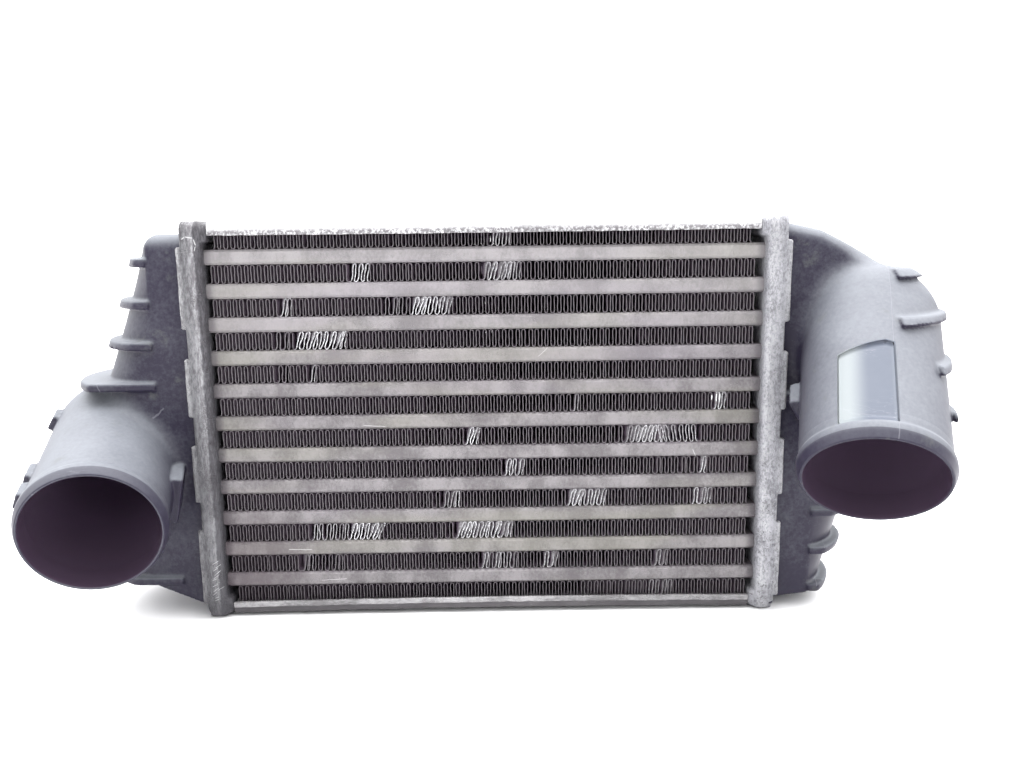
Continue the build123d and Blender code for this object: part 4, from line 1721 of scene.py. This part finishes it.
def dress_core(datum: Datum) -> None:
    """Finish the tubes, turbulators and gaskets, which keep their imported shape.

    Args:
        datum: Where the core stands.
    """
    tube = TubeAluminium("tube_aluminium", (0.225, 0.211, 0.218), (0.130, 0.121, 0.126), grime_share=0.45,
                         mottle=320.0, stretch=(0.8, 1.0, 0.6), roughness=0.5, metallic=0.25, scratched=0.22,
                         scratch_angle=(1.5, 0.35, 0.0), bump=0.14, speckle=0.4, grain=0.6)
    inner = SheetAluminium("turbulator_aluminium", (0.42, 0.42, 0.43), (0.30, 0.30, 0.31))
    dress_family(Family.TUBE, tube.material(datum))
    dress_family(Family.TURBULATOR, inner.material(datum))
    dress_family(Family.GASKET, Rubber().material(datum))


def build_headers(datum: Datum) -> None:
    """Make the two header trays: the left one dark and scratched, the right one bright and pitted.

    Args:
        datum: Where the core stands.
    """
    # tone across each rim: dark on the fold beside the core, a painted shade; paler on the worn face; on the
    # left, brightest at the tabs' edge, a painted highlight
    left_light_and_shade: Stops = (
        (0.0, (0.30, 0.29, 0.32)), (0.37, (0.42, 0.41, 0.44)), (0.43, (1.35, 1.35, 1.36)),
        (0.62, (0.85, 0.85, 0.87)), (0.78, (0.58, 0.58, 0.60)), (0.93, (1.4, 1.4, 1.4)))
    right_light_and_shade: Stops = (
        (0.0, (0.62, 0.62, 0.64)), (0.24, (0.78, 0.78, 0.80)), (0.34, (0.95, 0.95, 0.95)),
        (0.55, (0.86, 0.86, 0.87)), (0.72, (0.62, 0.62, 0.64)), (0.92, (0.74, 0.74, 0.74)))
    chance = random.Random(7)
    # the first four draw a bright curve round the top end of the face, a painted highlight; the rest are gouges
    gouges_and_highlight = [((-138.2, 169.7), (-136.4, 171.1), 0.35), ((-136.4, 171.1), (-132.7, 170.2), 0.35),
              ((-132.7, 170.2), (-131.6, 166.9), 0.3), ((-131.6, 166.9), (-132.6, 164.3), 0.25)]
    for n in range(14):
        x, z = -137.0 + chance.uniform(0.0, 3.0), -5.0 + 1.4 * n + chance.uniform(-0.5, 0.5)
        run = chance.uniform(1.8, 3.6)
        gouges_and_highlight.append(((x, z), (x + run, z + run * chance.uniform(0.4, 0.9)), chance.uniform(0.10, 0.18)))
    left = HeaderAluminium(
        "header_left_aluminium", (0.245, 0.245, 0.252), (0.105, 0.102, 0.109), grime_share=0.55, mottle=330.0,
        stretch=(1.0, 1.0, 0.3), scratched=0.6, scratch_angle=(1.57, 0.0, 0.0), bump=0.30, metallic=0.3,
        speckle=0.7, side=-1, stops=left_light_and_shade, gouges_and_highlight=tuple(gouges_and_highlight), foot_share=0.42, tip_share=0.75)
    right = HeaderAluminium(
        "header_right_aluminium", (0.44, 0.44, 0.46), (0.26, 0.26, 0.28), grime_and_fill=(0.08, 0.075, 0.09),
        grime_share=0.65, mottle=360.0, stretch=(1.0, 1.0, 0.5), scratched=0.5,
        scratch_angle=(1.57, 0.2, 0.0), bump=0.24, metallic=0.2, speckle=0.6, side=1, stops=right_light_and_shade,
        pitted=0.75)
    left_tray = HeaderSkin("header_plate_left", -1, phase=0.7, tongue=5.4, tongue_middle=3.6)
    right_tray = HeaderSkin("header_plate_right", 1, phase=2.1, ripple=0.16)
    left_tray.build(datum, left.material(datum))
    right_tray.build(datum, right.material(datum))


def build_plates(datum: Datum) -> None:
    """Make the two side plates.

    Args:
        datum: Where the core stands.
    """
    lower = PlateAluminium(
        "lower_plate_aluminium", (0.38, 0.37, 0.38), (0.19, 0.185, 0.19), grime_share=0.5, mottle=190.0,
        stretch=(0.5, 1.0, 1.0), scratched=0.7, scratch_angle=(0.0, 0.1, 0.0), bump=0.15, metallic=0.25)
    upper = PlateAluminium(
        "upper_plate_aluminium", (0.66, 0.66, 0.67), (0.48, 0.48, 0.49), grime_share=0.3, mottle=160.0,
        stretch=(0.35, 1.0, 1.0), scratched=0.5, scratch_angle=(0.0, 0.1, 0.0), bump=0.15, metallic=0.1,
        lip_edge=(175.2, 172.6), lip_share=0.9)
    # the lower flange's front is painted dark: a painted shade under the lip
    flange = SheetAluminium(
        "painted_shade_flange", (0.080, 0.074, 0.080), (0.052, 0.048, 0.053), grime_share=0.3, mottle=90.0,
        stretch=(0.4, 1.0, 1.0), scratched=0.2, metallic=0.2)
    shaded_flange_metal, upper_metal = flange.material(datum), upper.material(datum)
    PlateSkin("side_plate_top", 1, 0.3, 0.4).build(datum, [upper_metal, upper_metal])
    PlateSkin("side_plate_bottom", -1, 1.0, 1.9, lip=0.9).build(datum, [lower.material(datum), shaded_flange_metal])


# ---------------------------------------------------------------- studio
@dataclass(frozen=True)
class Studio:
    """Floor, lights and camera."""

    eye: Triple = (9.35, -402.76, 173.12)       # mm from the core's corner
    yaw: float = -0.33                          # degrees
    pitch: float = 10.277
    roll: float = -0.756
    lens: float = 860.0 / 1024.0 * 36.0         # mm, on a sensor 36 mm wide
    sensor: float = 36.0
    nearest: float = 0.01
    floor_size: float = 3.0
    room_front: float = 0.62                    # how bright the white room is in front, behind and above
    room_back: float = 2.2
    room_top: float = 2.4
    overhead: float = 17.0                      # watts, as the two windows' below
    right: float = 3.5
    left: float = 2.2

    def camera(self, datum: Datum) -> bpy.types.Object:
        """Make the camera at the chosen eye point.

        Args:
            datum: Where the core stands.

        Returns:
            The camera.
        """
        yaw, pitch, roll = (math.radians(v) for v in (self.yaw, self.pitch, self.roll))
        right = Vector((math.cos(yaw), math.sin(yaw), 0.0))
        ahead = Vector((-math.sin(yaw) * math.cos(pitch), math.cos(yaw) * math.cos(pitch), -math.sin(pitch)))
        up = right.cross(ahead)
        across = right * math.cos(roll) + up * math.sin(roll)
        above = up * math.cos(roll) - right * math.sin(roll)
        data = bpy.data.cameras.new("camera")
        data.lens, data.sensor_width, data.clip_start = self.lens, self.sensor, self.nearest
        made = linked("camera", data)
        turn = Matrix((across, above, -ahead)).transposed()
        made.matrix_world = Matrix.Translation(datum.point(*self.eye)) @ turn.to_4x4()
        bpy.context.scene.camera = made
        return made

    def floor(self, datum: Datum) -> bpy.types.Object:
        """Make the pale floor.

        Args:
            datum: Where the core stands.

        Returns:
            The floor.
        """
        half = self.floor_size / 2
        mesh = bpy.data.meshes.new("floor")
        corners = [(-half, -half, 0), (half, -half, 0), (half, half, 0), (-half, half, 0)]
        mesh.from_pydata(corners, [], [(0, 1, 2, 3)])
        made = linked("floor", mesh)
        paint = Paint("pale_floor", datum)
        base = paint.mix(paint.noise(3.0), (0.86, 0.86, 0.87), (0.90, 0.90, 0.91))
        made.data.materials.append(paint.finish(base, 0.6))
        made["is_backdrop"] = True
        return made

    def panel(self, name: str, place: Sequence[float], target: Sequence[float], size: Sequence[float],
              power: float) -> bpy.types.Object:
        """Make a soft rectangular light.

        Args:
            name: Object name.
            place: Where it hangs, in metres.
            target: Where it points.
            size: Width and height.
            power: Watts.

        Returns:
            The light.
        """
        data = bpy.data.lights.new(name, "AREA")
        data.shape, data.size, data.size_y = "RECTANGLE", size[0], size[1]
        data.energy = power
        made = linked(name, data)
        made.location = place
        made.rotation_euler = (Vector(target) - Vector(place)).to_track_quat("-Z", "Y").to_euler()
        return made

    def light(self) -> None:
        """Light the object from a white room that is brighter behind and above it than in front."""
        world = bpy.data.worlds.new("white_room")
        world.use_nodes = True
        pen = Pen(world.node_tree)
        _, back, up = pen.split(pen.node("ShaderNodeTexCoord", out="Generated"))
        strength = back.ramp(-0.75, 0.45) * (self.room_back - self.room_front) + self.room_front
        strength = strength + up.ramp(0.1, 0.9) * self.room_top
        background = world.node_tree.nodes["Background"]
        background.inputs["Color"].default_value = (1.0, 1.0, 1.0, 1.0)
        world.node_tree.links.new(strength.socket, background.inputs["Strength"])
        bpy.context.scene.world = world
        self.panel("overhead", (0.0, 0.12, 1.1), (0.0, 0.03, 0.1), (1.5, 0.8), self.overhead)
        self.panel("right_window", (0.95, -0.15, 0.75), (0.12, 0.0, 0.1), (0.6, 0.8), self.right)
        self.panel("left_window", (-1.0, 0.0, 0.6), (-0.15, 0.0, 0.07), (0.6, 0.8), self.left)
        bpy.context.scene.view_settings.view_transform = "Standard"


# ---------------------------------------------------------------- main
def write_size(key: str, sizes: dict[str, Any]) -> None:
    """Note the object's box.

    Args:
        key: Name of the entry.
        sizes: Where it is noted.
    """
    low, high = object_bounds()
    sizes[key] = [list(low), list(high)]


def main() -> None:
    """Build every piece, dress it and set up the view."""
    logging.basicConfig(level=logging.INFO, format="%(message)s")
    sizes: dict[str, Any] = {}
    write_size("cad", sizes)
    datum = Datum.read()
    polished = PolishedPlastic().material(datum)
    for tank, marks in ((LEFT_TANK, LEFT_MARKS), (RIGHT_TANK, RIGHT_MARKS)):
        plastic = MouldedPlastic(tank.node + "_plastic", marks)
        parting = RIGHT_PARTING if tank.side > 0 else None
        tank.build(datum, [plastic.material(datum, parting), polished])
    tree = fold_tree()
    metal = FinAluminium().material(datum)
    for number in range(1, ROWS + 1):
        row = FoldedRow(f"air_fin_{number:02d}", ROW_KNOCKS.get(number, ()))
        if number == ROWS:
            row = replace(row, more=LAST_ROW_MORE)
        row.build(datum, tree, metal)
    build_headers(datum)
    build_plates(datum)
    dress_core(datum)
    studio = Studio()
    studio.floor(datum)
    studio.light()
    studio.camera(datum)
    write_size("visual", sizes)


if __name__ == "__main__":
    main()
